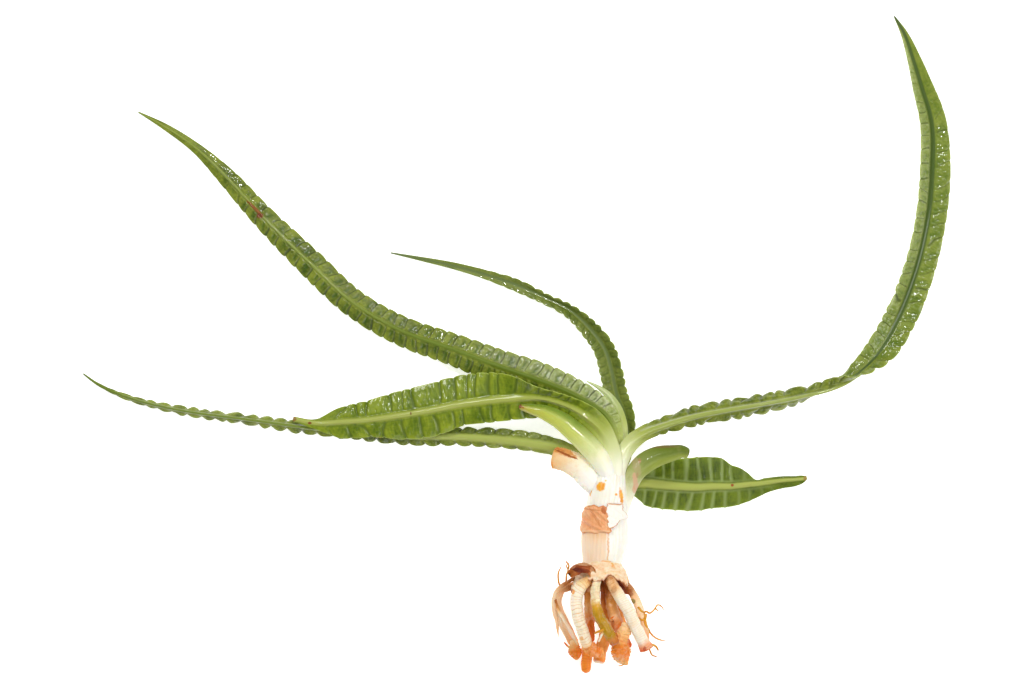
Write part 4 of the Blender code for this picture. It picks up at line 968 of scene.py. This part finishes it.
class CRINUM_OT_stalks(Operator):
    """Grow the two cut leaf stalks, the stump of the old sheath and the dead scale"""

    bl_idname = "crinum.stalks"
    bl_label = "Stalks and scraps"

    def execute(self, context):
        tree = strand_tree()
        finishes = {key: flesh_material(*about, stops, marks, **settings)
                    for key, (*about, settings, stops, marks) in STALK_FLESH.items()}
        for seed, (name, (slot, finish, rows, bow, groove, stations)) in enumerate(STRANDS.items()):
            is_torn = name in ("sheath_stump", "scale_dead")
            obj = strand(name + "_skin", tree, stations, 1.0, {
                "Around": 96, "Rows": rows, "Lump Height": (0.4 if is_torn else 0.12) * MM,
                "Groove Height": groove * MM, "Bow": bow * MM, "Raggedness": 0.5 if is_torn else 0.0,
                "Seed": 11.3 + 4.7 * seed, "Material": finishes[finish],
            }, "cut")
            dress(obj, slot, name)
        return {"FINISHED"}


ROOT_FLESH = {
    "root_cream": ("Crinum root, cream skin", "e8a864", "f8cc98", 0.4, {}, [
        (0, "8a4a1c"), (0.26, "a8642c"), (0.36, "ecc090"), (0.46, "fde2bc"), (0.8, "fbd8ae"),
        (1, "f4a450")], [
        (68.9, -153.6, 1.5, 1.6, 20, "7c7c20", 0.75), (66.5, -148.5, 2.6, 2.6, 30, "8a3c14", 0.7),
        (24.6, -160, 0.5, 8, -12, "fff8ea", 0.8), (31.5, -173, 0.5, 6, -28, "fff8ea", 0.8)]),
    "root_white": ("Crinum root, white and ringed", "e0a864", "f8d8a0", 0.5, {}, [
        (0, "b5682a"), (0.16, "e8a95c"), (0.26, "f8d8a0"), (0.34, "fff5de"), (0.9, "fff0d6"),
        (1, "f4c888")], [
        (33.2, -147.6, 0.9, 1.6, 10, "f09a30", 0.9), (38.2, -175.5, 1.2, 1.4, 0, "f0a84c", 0.7),
        (44, -141, 2, 2.6, 30, "c07838", 0.5)]),
    "root_white_two": ("Crinum root, white with an orange collar", "f0cc98", "fbd8a8", 0.6, {}, [
        (0, "8a3c14"), (0.12, "a8541c"), (0.2, "d08a44"), (0.27, "e8b478"), (0.33, "fde6c0"),
        (0.4, "fff5e0"), (0.88, "fff1dc"), (0.94, "f8ac7c"), (0.97, "e85c18"), (1, "cc4408")], [
        (62.6, -170.5, 1.6, 3, 20, "f4bc80", 0.8), (57.6, -146, 1.6, 2.4, 20, "b86c24", 0.5),
        (76, -181.5, 1, 1.4, 0, "a02c08", 0.6)]),
    "root_olive": ("Crinum root, white going olive", "c08c28", "d89428", 0.4,
        {"roughness": 0.28, "coat": 0.8}, [
        (0, "c98a44"), (0.2, "fbeac4"), (0.42, "fff0c8"), (0.48, "e2aa30"), (0.58, "be9004"),
        (0.85, "b88c02"), (0.93, "d07c30"), (1, "b8542c")], []),
    "root_brown": ("Crinum root, brown skin", "b86820", "f4dcc0", 0.6, {}, [
        (0, "7a3408"), (0.22, "b0621c"), (0.4, "d8984c"), (0.55, "eab476"), (0.7, "e2781c"),
        (1, "e0680c")], []),
    "root_orange": ("Crinum root, orange skin", "d87018", "fca83c", 0.4, {}, [
        (0, "8a4414"), (0.3, "c8742c"), (0.6, "f0a44c"), (0.8, "f89c38"), (1, "f88a1c")], []),
    "root_tan": ("Crinum root, tan skin", "d88c40", "ec983c", 0.35, {}, [
        (0, "8a4414"), (0.3, "c47428"), (0.6, "eeaa50"), (0.9, "f4ac54"), (0.97, "f08824"),
        (1, "fff0dc")], []),
    "skin": ("Root skin, papery and translucent", "e88a2c", "fce4bc", 0.5,
        {"roughness": 0.3, "coat": 0.6, "soft": 0.5}, [
        (0, "fad8a8"), (0.25, "f8c078"), (0.5, "f08c24"), (0.8, "ee8420"), (0.95, "f8b060")], []),
    "thread": ("Fine root, dry and golden", "b87420", "e8b450", 0.4, {}, [
        (0, "d08c24"), (0.5, "dc9c24"), (1, "c88420")], []),
}


def add_twigs(piece, name, tree, finishes):
    """Grows the fine twigs of a piece and joins them to its mesh."""
    parts = [piece]
    for number, (finish, first, last, points) in enumerate(TWIGS.get(name, ())):
        radii = np.linspace(first, last, len(points))
        stations = [(*point, radius, radius) for point, radius in zip(points, radii)]
        parts.append(strand(f"{name}_twig_{number}", tree, stations, 0.3, {
            "Around": 20, "Rows": 60, "Lump Size": 1.5, "Lump Height": 0.3 * MM, "Groove Height": 0.1 * MM,
            "Seed": 211.3 + 4.7 * number, "Material": finishes[finish],
        }, "cut"))
    if len(parts) > 1:
        with bpy.context.temp_override(active_object=piece, object=piece, selected_objects=parts,
                                       selected_editable_objects=parts):
            bpy.ops.object.join()
    return piece


class CRINUM_OT_roots(Operator):
    """Grow the thick ringed roots, their peeled skins and the fine side roots"""

    bl_idname = "crinum.roots"
    bl_label = "Roots"

    def execute(self, context):
        tree = strand_tree()
        finishes = {key: flesh_material(*about, stops, marks, **settings)
                    for key, (*about, settings, stops, marks) in ROOT_FLESH.items()}
        for seed, (name, (slot, finish, lump, pitch, height, end, points)) in enumerate(ROOTS.items()):
            stations = [(x, y, z, radius, radius) for x, y, z, radius in points]
            obj = strand(name + "_skin", tree, stations, 1.0, {
                "Around": 64, "Rows": 300, "Ring Pitch": pitch, "Ring Height": height * MM,
                "Lump Height": lump * MM, "Groove Height": 0.2 * MM, "Seed": 31.7 + 3.9 * seed,
                "Material": finishes[finish],
            }, end)
            dress(add_twigs(obj, name, tree, finishes), slot, name)
        for seed, (name, stations) in enumerate(SKINS.items()):
            obj = strand(name + "_sheet", tree, stations, 0.5, {
                "Around": 96, "Rows": 160, "Lump Size": 1.6, "Lump Height": 1.0 * MM,
                "Groove Height": 0.8 * MM, "Bow": 0.8 * MM, "Raggedness": 1.1, "Seed": 83.1 + 5.3 * seed,
                "Material": finishes["skin"],
            }, "cut")
            dress(add_twigs(obj, name, tree, finishes), "skin_orange", name)
        for seed, (name, points) in enumerate(ROOTLETS.items()):
            radii = [0.6 - 0.25 * i / len(points) for i in range(len(points))]
            stations = [(*point, radius, radius) for point, radius in zip(points, radii)]
            obj = strand(name + "_thread", tree, stations, 0.5, {
                "Around": 12, "Rows": 90, "Lump Size": 1.5, "Lump Height": 0.18 * MM, "Groove Height": 0.0,
                "Seed": 97.1 + 2.3 * seed, "Material": finishes["thread"],
            }, "point")
            dress(add_twigs(obj, name, tree, finishes), "rootlet_gold", name)
        return {"FINISHED"}


def neck_material():
    """Blanched leaf bases: moist, white to cream, faintly ribbed lengthwise, with rusty stains."""
    add, shader, where, _ = new_material("Crinum neck, blanched and moist")
    x, y, z = add(SEPARATE, where).node.outputs
    fibre = add(NOISE, (V_TIMES, where, (900.0, 40.0, 900.0)), 1.0, 3.0, 0.6)
    cloud = add(NOISE, where, 120.0, 4.0, 0.6)
    colour = add(BLEND, (RANGE, cloud, 0.35, 0.7, 0.0, 1.0), linear("fefaf0"), linear("fbf2de"))
    wander = add(PLUS, x, (TIMES, cloud, 0.004))
    left_part = add(RANGE, wander, 55.6 * MM, 54.6 * MM, 0.0, 1.0)
    below = add(RANGE, y, -106.0 * MM, -110.0 * MM, 0.0, 1.0)
    low = add(SMOOTH, y, -111.0 * MM, -121.0 * MM, 0.0, 1.0)
    pink = add(BLEND, low, linear("f3bd84"), linear("f7d9b8"))
    pink = add(BLEND, (RANGE, fibre, 0.3, 0.7, 0.0, 0.5), pink, linear("f9e2c8"))
    colour = add(BLEND, (TIMES, below, left_part), colour, pink)
    seam = add(RANGE, (ABS, (MINUS, wander, 56.0 * MM)), 0.2 * MM, 0.7 * MM, 0.8, 0.0)
    colour = add(BLEND, (TIMES, seam, below), colour, linear("e6a45c"))
    front = add(RANGE, z, 20.0 * MM, 24.0 * MM, 0.0, 1.0)
    rust = add(BLEND, (RANGE, cloud, 0.4, 0.6, 0.0, 1.0), linear("f0960a"), linear("fbb81c"))
    for mark in NECK_STAINS:
        mask = add(TIMES, spot_mask(add, where, *mark), front)
        colour = add(BLEND, mask, colour, rust)
    colour = add(BLEND, (RANGE, fibre, 0.4, 0.7, 0.0, 0.15), colour, linear("f0e2c4"))
    return finish_material(add, shader, colour, add(RANGE, cloud, 0.3, 0.7, 0.3, 0.45), fibre, 0.35, 0.3,
                           {"Subsurface Weight": 0.35, "Subsurface Radius": (1.0, 0.7, 0.4),
                            "Subsurface Scale": 0.003, "Coat Weight": 0.3, "Coat Roughness": 0.12})


def ring_grid(profile, rows, around):
    """Even rings along a profile of x, y, z, half width and half height: rings, angles and shares."""
    places, stations = smooth_rows(profile, 0.1)
    pick = np.linspace(0.0, places[-1], rows)
    even = np.column_stack([np.interp(pick, places, stations[:, k]) for k in range(5)])
    angles = np.linspace(0.0, 2 * math.pi, around, endpoint=False)
    return even, angles, np.linspace(0.0, 1.0, rows)


class CRINUM_OT_neck(Operator):
    """Shape the white neck of wrapped leaf bases"""

    bl_idname = "crinum.neck"
    bl_label = "Neck"

    def execute(self, context):
        even, angles, shares = ring_grid(NECK, 260, 220)
        turn, share = np.meshgrid(angles, shares)
        ribs = 0.10 * np.sin(34 * turn + 0.6 * waves(share * 6, turn))
        ribs = ribs + 0.25 * waves(3 * np.cos(turn) + share, 3 * np.sin(turn))
        lap = 0.7 / (1 + np.exp(-26 * np.sin(turn - 1.25 - 0.25 * share)))
        relief = (ribs + lap - 0.5) * np.minimum(1.0, share * 6)
        reach_x = even[:, 3][:, None] + relief
        reach_z = even[:, 4][:, None] + relief
        grid = np.stack([even[:, 0][:, None] + reach_x * np.cos(turn), even[:, 1][:, None] + 0 * turn,
                         even[:, 2][:, None] + reach_z * np.sin(turn)], axis=2)
        obj = grid_object("neck_skin", grid, neck_material(), {"share": share})
        dress(obj, "neck_white", "neck")
        return {"FINISHED"}


def sheet_material(name, stops, border, roughness, marks):
    """Torn drying sheath: matt and fibrous, browner along the torn border."""
    add, shader, where, read = new_material(name, "edge")
    cloud = add(NOISE, where, 260.0, 4.0, 0.65)
    fibre = add(NOISE, (V_TIMES, where, (1300.0, 120.0, 1300.0)), 1.0, 3.0, 0.6)
    tone = add(PLUS, (TIMES, cloud, 0.6), (TIMES, fibre, 0.4))
    colour = ramp(add(RAMP, (RANGE, tone, 0.3, 0.7, 0.0, 1.0)), stops)
    inward = add(MINUS, read.edge, (TIMES, cloud, 0.8))
    colour = add(BLEND, (RANGE, inward, 0.45, 0.1, 0.0, 0.85), colour, linear(border))
    colour = marked(add, where, colour, marks)
    rough = add(RANGE, cloud, 0.3, 0.7, roughness - 0.1, roughness + 0.15)
    return finish_material(add, shader, colour, rough, fibre, 0.5, 0.4,
                           {"Subsurface Weight": 0.2, "Subsurface Scale": 0.0015})


def neck_at(y):
    """Centre x, half width and half height of the neck at each y."""
    table = np.array(NECK)[::-1]
    return [np.interp(y, table[:, 1], table[:, column]) for column in (0, 3, 4)]


class CRINUM_OT_sheaths(Operator):
    """Wrap the torn tan and white sheaths round the neck"""

    bl_idname = "crinum.sheaths"
    bl_label = "Torn sheaths"

    def execute(self, context):
        finishes = {
            "sheath_tan": sheet_material(
                "Torn sheath, tan and fibrous", [(0, "e08a4c"), (0.5, "f0a870"), (1, "f8cca0")], "d8803c",
                0.5,
                [(46.6, -103.6, 0.8, 7.2, -32, "c87434", 0.5), (41, -101, 0.6, 5, -38, "cc7c40", 0.35),
                 (44, -98.6, 6.5, 0.5, 6, "c8742c", 0.6), (41, -105.5, 3.6, 3.6, 0, "ec9a66", 0.5),
                 (45.5, -111.5, 11, 0.9, 0, "f2c498", 0.6), (51.5, -99, 1.4, 2.4, -20, "b85c1c", 0.8)]),
            "sheath_white": sheet_material(
                "Torn sheath, white", [(0, "fff4e0"), (0.6, "fffaf0"), (1, "fff0d8")], "cc8440", 0.6, []),
        }
        for name, torn in SHEATHS.items():
            table = np.array(torn["rows"], dtype=float)
            ys = np.linspace(table[0, 0], table[-1, 0], 110)
            first = np.interp(ys, table[::-1, 0], table[::-1, 1]) + 1.2 * waves(ys * 2.1)
            last = np.interp(ys, table[::-1, 0], table[::-1, 2]) + 1.2 * waves(ys * 2.6 + 2.0)
            shares = np.linspace(0.0, 1.0, 120)
            angle = np.radians(first[:, None] + (last - first)[:, None] * shares[None, :])
            from_top = np.clip(1 - (ys[0] - ys) / 3.0, 0.0, 1.0)[:, None]
            from_bottom = np.clip(1 - (ys - ys[-1]) / 3.0, 0.0, 1.0)[:, None]
            y = ys[:, None] + 0.8 * waves(angle * 7) * from_top + 0.6 * waves(angle * 9 + 1.0) * from_bottom
            centre, half_width, half_height = neck_at(ys)
            span = NECK_RADIUS * np.radians(last - first)[:, None]
            from_side = np.minimum(shares, 1 - shares)[None, :] * span
            border = np.minimum(from_side, np.minimum(ys[0] - ys, ys - ys[-1])[:, None])
            lift = 0.45 + 0.25 * np.exp(-border / 0.8) + 0.28 * waves(angle * 9, y * 0.9)
            if name == "sheath_tan":
                fold = (y + 97.0) + 0.95 * (np.cos(angle) * NECK_RADIUS + 8.0)
                lift = lift + 0.45 * np.exp(-(fold / 0.8) ** 2) + 0.3 * np.exp(-((fold + 3.5) / 0.6) ** 2)
                lift = lift + 0.5 * waves(angle * 4, y * 0.5)
            thick = 0.15 + 0.45 * np.clip(border / 1.0, 0.0, 1.0) ** 0.5
            sheets = []
            for offset in (lift, lift + thick):
                sheets.append(np.stack([centre[:, None] + (half_width[:, None] + offset) * np.cos(angle), y,
                                        NECK_TOP_Z + (half_height[:, None] + offset) * np.sin(angle)],
                                       axis=2))
            grid = np.concatenate([sheets[0], sheets[1][:, ::-1]], axis=1)
            edge = np.concatenate([border, border[:, ::-1]], axis=1)
            dress(grid_object(name + "_skin", grid, finishes[name], {"edge": edge}), torn["slot"], name)
        return {"FINISHED"}


def plate_material():
    """Basal plate: corky cream dome with orange flecks, red-brown at the rim and dark brown in the hollow at
    the roots: the plate's own browner tissue there, deepened with painted shade.
    """
    add, shader, where, read = new_material("Basal plate, corky and moist", "depth")
    cloud = add(NOISE, where, 210.0, 5.0, 0.7)
    cross = add(NOISE, (V_TIMES, where, (260.0, 520.0, 260.0)), 1.0, 4.0, 0.65)
    colour = ramp(add(RAMP, (RANGE, cross, 0.25, 0.75, 0.0, 1.0)),
                  [(0, "ecb478"), (0.35, "f3cc9c"), (0.7, "f9e0bc"), (1, "fceed8")])
    colour = add(BLEND, (RANGE, cloud, 0.58, 0.63, 0.0, 0.8), colour, linear("f0a43c"))
    # Painted shade over the plate's own browner tissue: red-brown at the rim, dark brown inside the hollow.
    rim = add(PLUS, read.depth, (TIMES, cloud, 0.14))
    colour = add(BLEND, (RANGE, rim, 0.97, 1.06, 0.0, 1.0), colour, linear("a8571f"))
    colour = add(BLEND, (RANGE, read.depth, 1.05, 1.25, 0.0, 1.0), colour, linear("8a3a14"))
    colour = marked(add, where, colour, [(28, -141, 4.5, 4.5, 0, "a4602c", 0.85),
                                         (48, -128.8, 8, 0.5, 8, "e8a040", 0.7),
                                         (56, -129, 1, 0.8, 0, "d0701c", 0.8)])
    return finish_material(add, shader, colour, add(RANGE, cloud, 0.3, 0.7, 0.4, 0.6), cross, 0.6, 0.5,
                           {"Subsurface Weight": 0.2, "Subsurface Scale": 0.002, "Coat Weight": 0.15,
                            "Coat Roughness": 0.2})


class CRINUM_OT_plate(Operator):
    """Shape the basal plate, a corky dome with a ragged rim over a hollow"""

    bl_idname = "crinum.plate"
    bl_label = "Basal plate"

    def execute(self, context):
        places, stations = smooth_rows(PLATE, 0.1)
        angles = np.linspace(0.0, 2 * math.pi, 240, endpoint=False)
        table = np.array(RIM, dtype=float)
        rim = np.interp(np.degrees(angles), table[:, 0], table[:, 1]) + 0.9 * waves(angles * 14) \
            + 0.5 * waves(angles * 31 + 1.0)
        outside = np.linspace(0.0, 1.0, 110)
        inside = np.linspace(1.0, 0.0, 40)[1:]
        rows, depth = [], []
        order = stations[:, 1][::-1]
        for t in outside:
            y = PLATE[0][1] + (rim - PLATE[0][1]) * t
            x, wide, high = [np.interp(y, order, stations[:, k][::-1]) for k in (0, 3, 4)]
            rough = 0.35 * waves(angles * 5, y * 0.8) + 0.18 * waves(angles * 17, y * 2.3)
            wide, high = wide + rough, high + rough
            rows.append(np.stack([x + wide * np.cos(angles), y, PLATE[0][2] + high * np.sin(angles)],
                                 axis=1))
            depth.append(np.full(len(angles), t))
        for t in inside:
            y = HOLLOW_Y + (rim - HOLLOW_Y) * t
            x, wide, high = [np.interp(y, order, stations[:, k][::-1]) for k in (0, 3, 4)]
            shrink = 1.3 + 5.0 * (1 - t) ** 1.5
            rough = 0.4 * waves(angles * 7, y * 1.1)
            rows.append(np.stack([x + (wide - shrink + rough) * np.cos(angles), y,
                                  PLATE[0][2] + (high - shrink + rough) * np.sin(angles)], axis=1))
            depth.append(np.full(len(angles), 2.0 - t))
        obj = grid_object("basal_plate_skin", np.array(rows), plate_material(), {"depth": np.array(depth)})
        dress(obj, "plate_cream", "basal_plate")
        return {"FINISHED"}


# Finishes of a leaf: the material's name, the dark and the light colour of the blade (none where the panel's
# are used), colours of the creases and the grooves, which are painted shade (leaf_satin's creases stand as
# ridges, and its crease colour is a painted sheen on them), dark and light colours of the midrib and of the
# channel side, colour of the midrib there, marks as in marked(), strength of the film of water, and roughness
RUST = [(-157.5, 81.6, 1, 6.6, -45, "8e4004", 0.85), (-154.4, 77.2, 2, 1.6, -20, "7a3002", 0.9)]
CUTS = [(-63.9, -41.1, 0.5, 1, 0, "6a3010", 0.9), (-124.5, -47.1, 1.2, 0.8, 0, "7a2c0c", 0.9),
        (-134, -44.6, 1.4, 1.6, 0, "8a5a2a", 0.8), (-85, -56.5, 8, 0.9, 0, "9a6a34", 0.6),
        (128.7, -84.3, 0.9, 0.9, 0, "9a3a1c", 0.9), (172.5, -80.3, 1, 1.6, 0, "9a7a3a", 0.8)]
LEAF_FINISHES = {
    "leaf_green": ("Crinum leaf, wet cuticle", None, "223402", "3e5c04", ("5e7410", "a8b258"),
                   ("587008", "82902c"), "465c16", RUST, 0.75, 0.36),
    "leaf_dark": ("Crinum leaf, shaded channel side", ("4a5e08", "808e38"), "34480a", "3c5010",
                  ("7c9038", "9aa860"), ("506216", "7e8a3a"), "66763e", [], 0.75, 0.36),
    "leaf_glossy": ("Crinum leaf, water-filmed", ("506800", "8c9c1e"), "42580a", "466200",
                    ("8a9c30", "a8b054"), ("5e7808", "849224"), "62742e", CUTS, 0.5, 0.38),
    "leaf_satin": ("Crinum leaf, drying to a satin", ("3c5000", "6c7e10"), "96a668", "8aa040",
                   ("8a9c30", "acb458"), ("5e7808", "849224"), "62742e", CUTS, 0.1, 0.46),
    "leaf_pale": ("Crinum leaf, young and pale", ("a0b06a", "c2cc92"), "8a9a58", "8a9a58",
                  ("b8c486", "c8d29a"), ("aab880", "ccd4a4"), "98a870", [], 0.6, 0.36),
}


class CRINUM_OT_leaves(Operator):
    """Grow the seven leaf blades along their midribs"""

    bl_idname = "crinum.leaves"
    bl_label = "Leaves"

    def execute(self, context):
        sizes = context.scene.crinum_sizes
        tree = leaf_tree()
        finishes = {key: leaf_material(name, blade or (sizes.leaf_deep, sizes.leaf_light), *rest)
                    for key, (name, blade, *rest) in LEAF_FINISHES.items()}
        for seed, (name, leaf) in enumerate(LEAVES.items()):
            places, rows = smooth_rows(leaf["stations"], 1.5)
            shares = places / places[-1]
            sides, ups = route_frames(rows[:, :3], rows[:, 5])
            steps = np.diff(places, prepend=0.0)
            flat_from, flat_to, girth = leaf["stem"]
            stem = np.clip((flat_to - places) / (flat_to - flat_from), 0.0, 1.0)
            pale = leaf.get("pale", [(0, 0, 0)])
            values = {
                "left": rows[:, 3] * MM, "right": rows[:, 4] * MM, "fold": np.radians(rows[:, 6]),
                "beat_left": np.cumsum(steps / share_rows(leaf["pitch"], shares, 1)),
                "beat_right": np.cumsum(steps / share_rows(leaf["pitch"], shares, 2)) + 0.4,
                "wave": share_rows(leaf["wave"], shares) * sizes.wave,
                "pillow": share_rows(leaf["pillow"], shares), "stem": stem,
                "girth": np.interp(places, [0.0, flat_to, flat_to + 60.0], [girth, girth * 0.6, 0.3]) * MM,
                "along": places, "green": np.clip(places / leaf["green"], 0.0, 1.0),
                "rib_light": share_rows(leaf["rib_light"], shares),
                "rib_width": share_rows(leaf["rib"], shares) * MM,
                "band": share_rows(leaf["band"], shares) * MM,
                "pitch_left": share_rows(leaf["pitch"], shares, 1) * MM,
                "pitch_right": share_rows(leaf["pitch"], shares, 2) * MM,
                "pale_left": share_rows(pale, shares, 1),
                "pale_right": share_rows(pale, shares, 2),
            }
            obj = route_object(name + "_blade", rows[:, :3], values, {"side": sides, "up": ups})
            cells = dict(zip(CELL_INPUTS, leaf["cells"]))
            cells["Crease Width"] *= sizes.crease
            for label in ("Corner", "Crease Width", "Rib Height"):
                cells[label] *= MM
            grow(obj, tree, {
                **cells, "Rows": leaf["rows"], "Pillow Height": sizes.pillow * MM, "Seed": 3.1 * seed,
                "Material": finishes[leaf.get("finish", leaf["slot"])],
            })
            dress(obj, leaf["slot"], name)
        return {"FINISHED"}


class CRINUM_OT_stage(Operator):
    """Lay the white floor, hang the soft lights and set the camera over the plant"""

    bl_idname = "crinum.stage"
    bl_label = "Floor, light and camera"

    def execute(self, context):
        scene = context.scene
        material = bpy.data.materials.new("Matt white acrylic, lit from below")
        material.use_nodes = True
        shader = material.node_tree.nodes["Principled BSDF"]
        for label, value in {
            "Base Color": linear("f4f4f4"), "Roughness": 0.9, "Specular IOR Level": 0.1,
            "Emission Color": linear("ffffff"), "Emission Strength": 0.7,
        }.items():
            shader.inputs[label].default_value = value
        built = bmesh.new()
        bmesh.ops.create_grid(built, x_segments=1, y_segments=1, size=4.0)
        mesh = bpy.data.meshes.new("floor")
        built.to_mesh(mesh)
        built.free()
        mesh.transform(Matrix.Translation((0.0, 0.0, -0.0002)))
        mesh.materials.append(material)
        floor = bpy.data.objects.new("floor", mesh)
        scene.collection.objects.link(floor)

        world = bpy.data.worlds.new("Soft white room")
        world.use_nodes = True
        world.node_tree.nodes["Background"].inputs["Color"].default_value = linear("ffffff")
        world.node_tree.nodes["Background"].inputs["Strength"].default_value = 0.26
        scene.world = world
        lamps = [
            ("Key softbox", (-0.55, 0.75, 1.1), 0.35, context.scene.crinum_sizes.key_power),
            ("Front softbox", (0.1, -0.9, 0.9), 0.6, 2.5), ("Small hard light", (0.3, 0.6, 1.5), 0.12, 6.5),
            ("Fill softbox", (0.9, -0.3, 1.0), 0.6, 5.0),
        ]
        for label, spot, size, power in lamps:
            light = bpy.data.lights.new(label, "AREA")
            light.shape = "SQUARE"
            light.size = size
            light.energy = power
            lamp = bpy.data.objects.new(label, light)
            lamp.location = spot
            lamp.rotation_euler = (-Vector(spot)).to_track_quat("-Z", "Y").to_euler()
            lamp.visible_camera = False
            scene.collection.objects.link(lamp)

        camera = bpy.data.cameras.new("Overhead camera")
        camera.sensor_width = 36.0
        camera.lens = camera.sensor_width * CAMERA_HEIGHT / VIEW_WIDTH
        camera.clip_end = 100.0
        holder = bpy.data.objects.new("Overhead camera", camera)
        holder.location = (VIEW_CENTRE[0], VIEW_CENTRE[1], CAMERA_HEIGHT)
        scene.collection.objects.link(holder)
        scene.camera = holder
        scene.view_settings.view_transform = "Standard"
        return {"FINISHED"}


class CrinumSizes(PropertyGroup):
    """Sizes that a user would change, in millimetres unless it says otherwise."""

    pillow: FloatProperty(name="Pillow height", description="How far the blade swells, in mm", default=0.8,
                          min=0.0, max=3.0)
    crease: FloatProperty(name="Crease width", description="Factor on how wide the creases are", default=1.0,
                          min=0.3, max=2.0)
    wave: FloatProperty(name="Edge wave", description="Factor on how far the leaf edges wave",
                        default=1.0, min=0.0, max=2.0)
    leaf_deep: FloatVectorProperty(name="Leaf, deep", description="Colour in the dark parts of a leaf",
                                   subtype="COLOR", size=3, min=0.0, max=1.0, default=linear("3c4e04")[:3])
    leaf_light: FloatVectorProperty(name="Leaf, light", description="Colour in the light parts of a leaf",
                                    subtype="COLOR", size=3, min=0.0, max=1.0, default=linear("86922c")[:3])
    key_power: FloatProperty(name="Key light", description="Power of the large softbox", subtype="POWER",
                             default=8.5, min=0.0, max=100.0)


class CRINUM_PT_panel(Panel):
    """Lists the plant's pieces and sizes in the sidebar"""

    bl_idname = "CRINUM_PT_panel"
    bl_label = "Crinum"
    bl_space_type = "VIEW_3D"
    bl_region_type = "UI"
    bl_category = "Crinum"

    def draw(self, context):
        for key in CrinumSizes.__annotations__:
            self.layout.prop(context.scene.crinum_sizes, key)
        for operator in OPERATORS:
            self.layout.operator(operator.bl_idname)


OPERATORS = (CRINUM_OT_leaves, CRINUM_OT_stalks, CRINUM_OT_neck, CRINUM_OT_sheaths, CRINUM_OT_plate,
             CRINUM_OT_roots, CRINUM_OT_stage)
CLASSES = (CrinumSizes, *OPERATORS, CRINUM_PT_panel)


def register():
    for item in CLASSES:
        bpy.utils.register_class(item)
    bpy.types.Scene.crinum_sizes = PointerProperty(type=CrinumSizes)


def unregister():
    del bpy.types.Scene.crinum_sizes
    for item in reversed(CLASSES):
        bpy.utils.unregister_class(item)


def main():
    register()
    bpy.ops.crinum.leaves()
    bpy.ops.crinum.stalks()
    bpy.ops.crinum.neck()
    bpy.ops.crinum.sheaths()
    bpy.ops.crinum.plate()
    bpy.ops.crinum.roots()
    bpy.ops.crinum.stage()


if __name__ == "__main__":
    main()
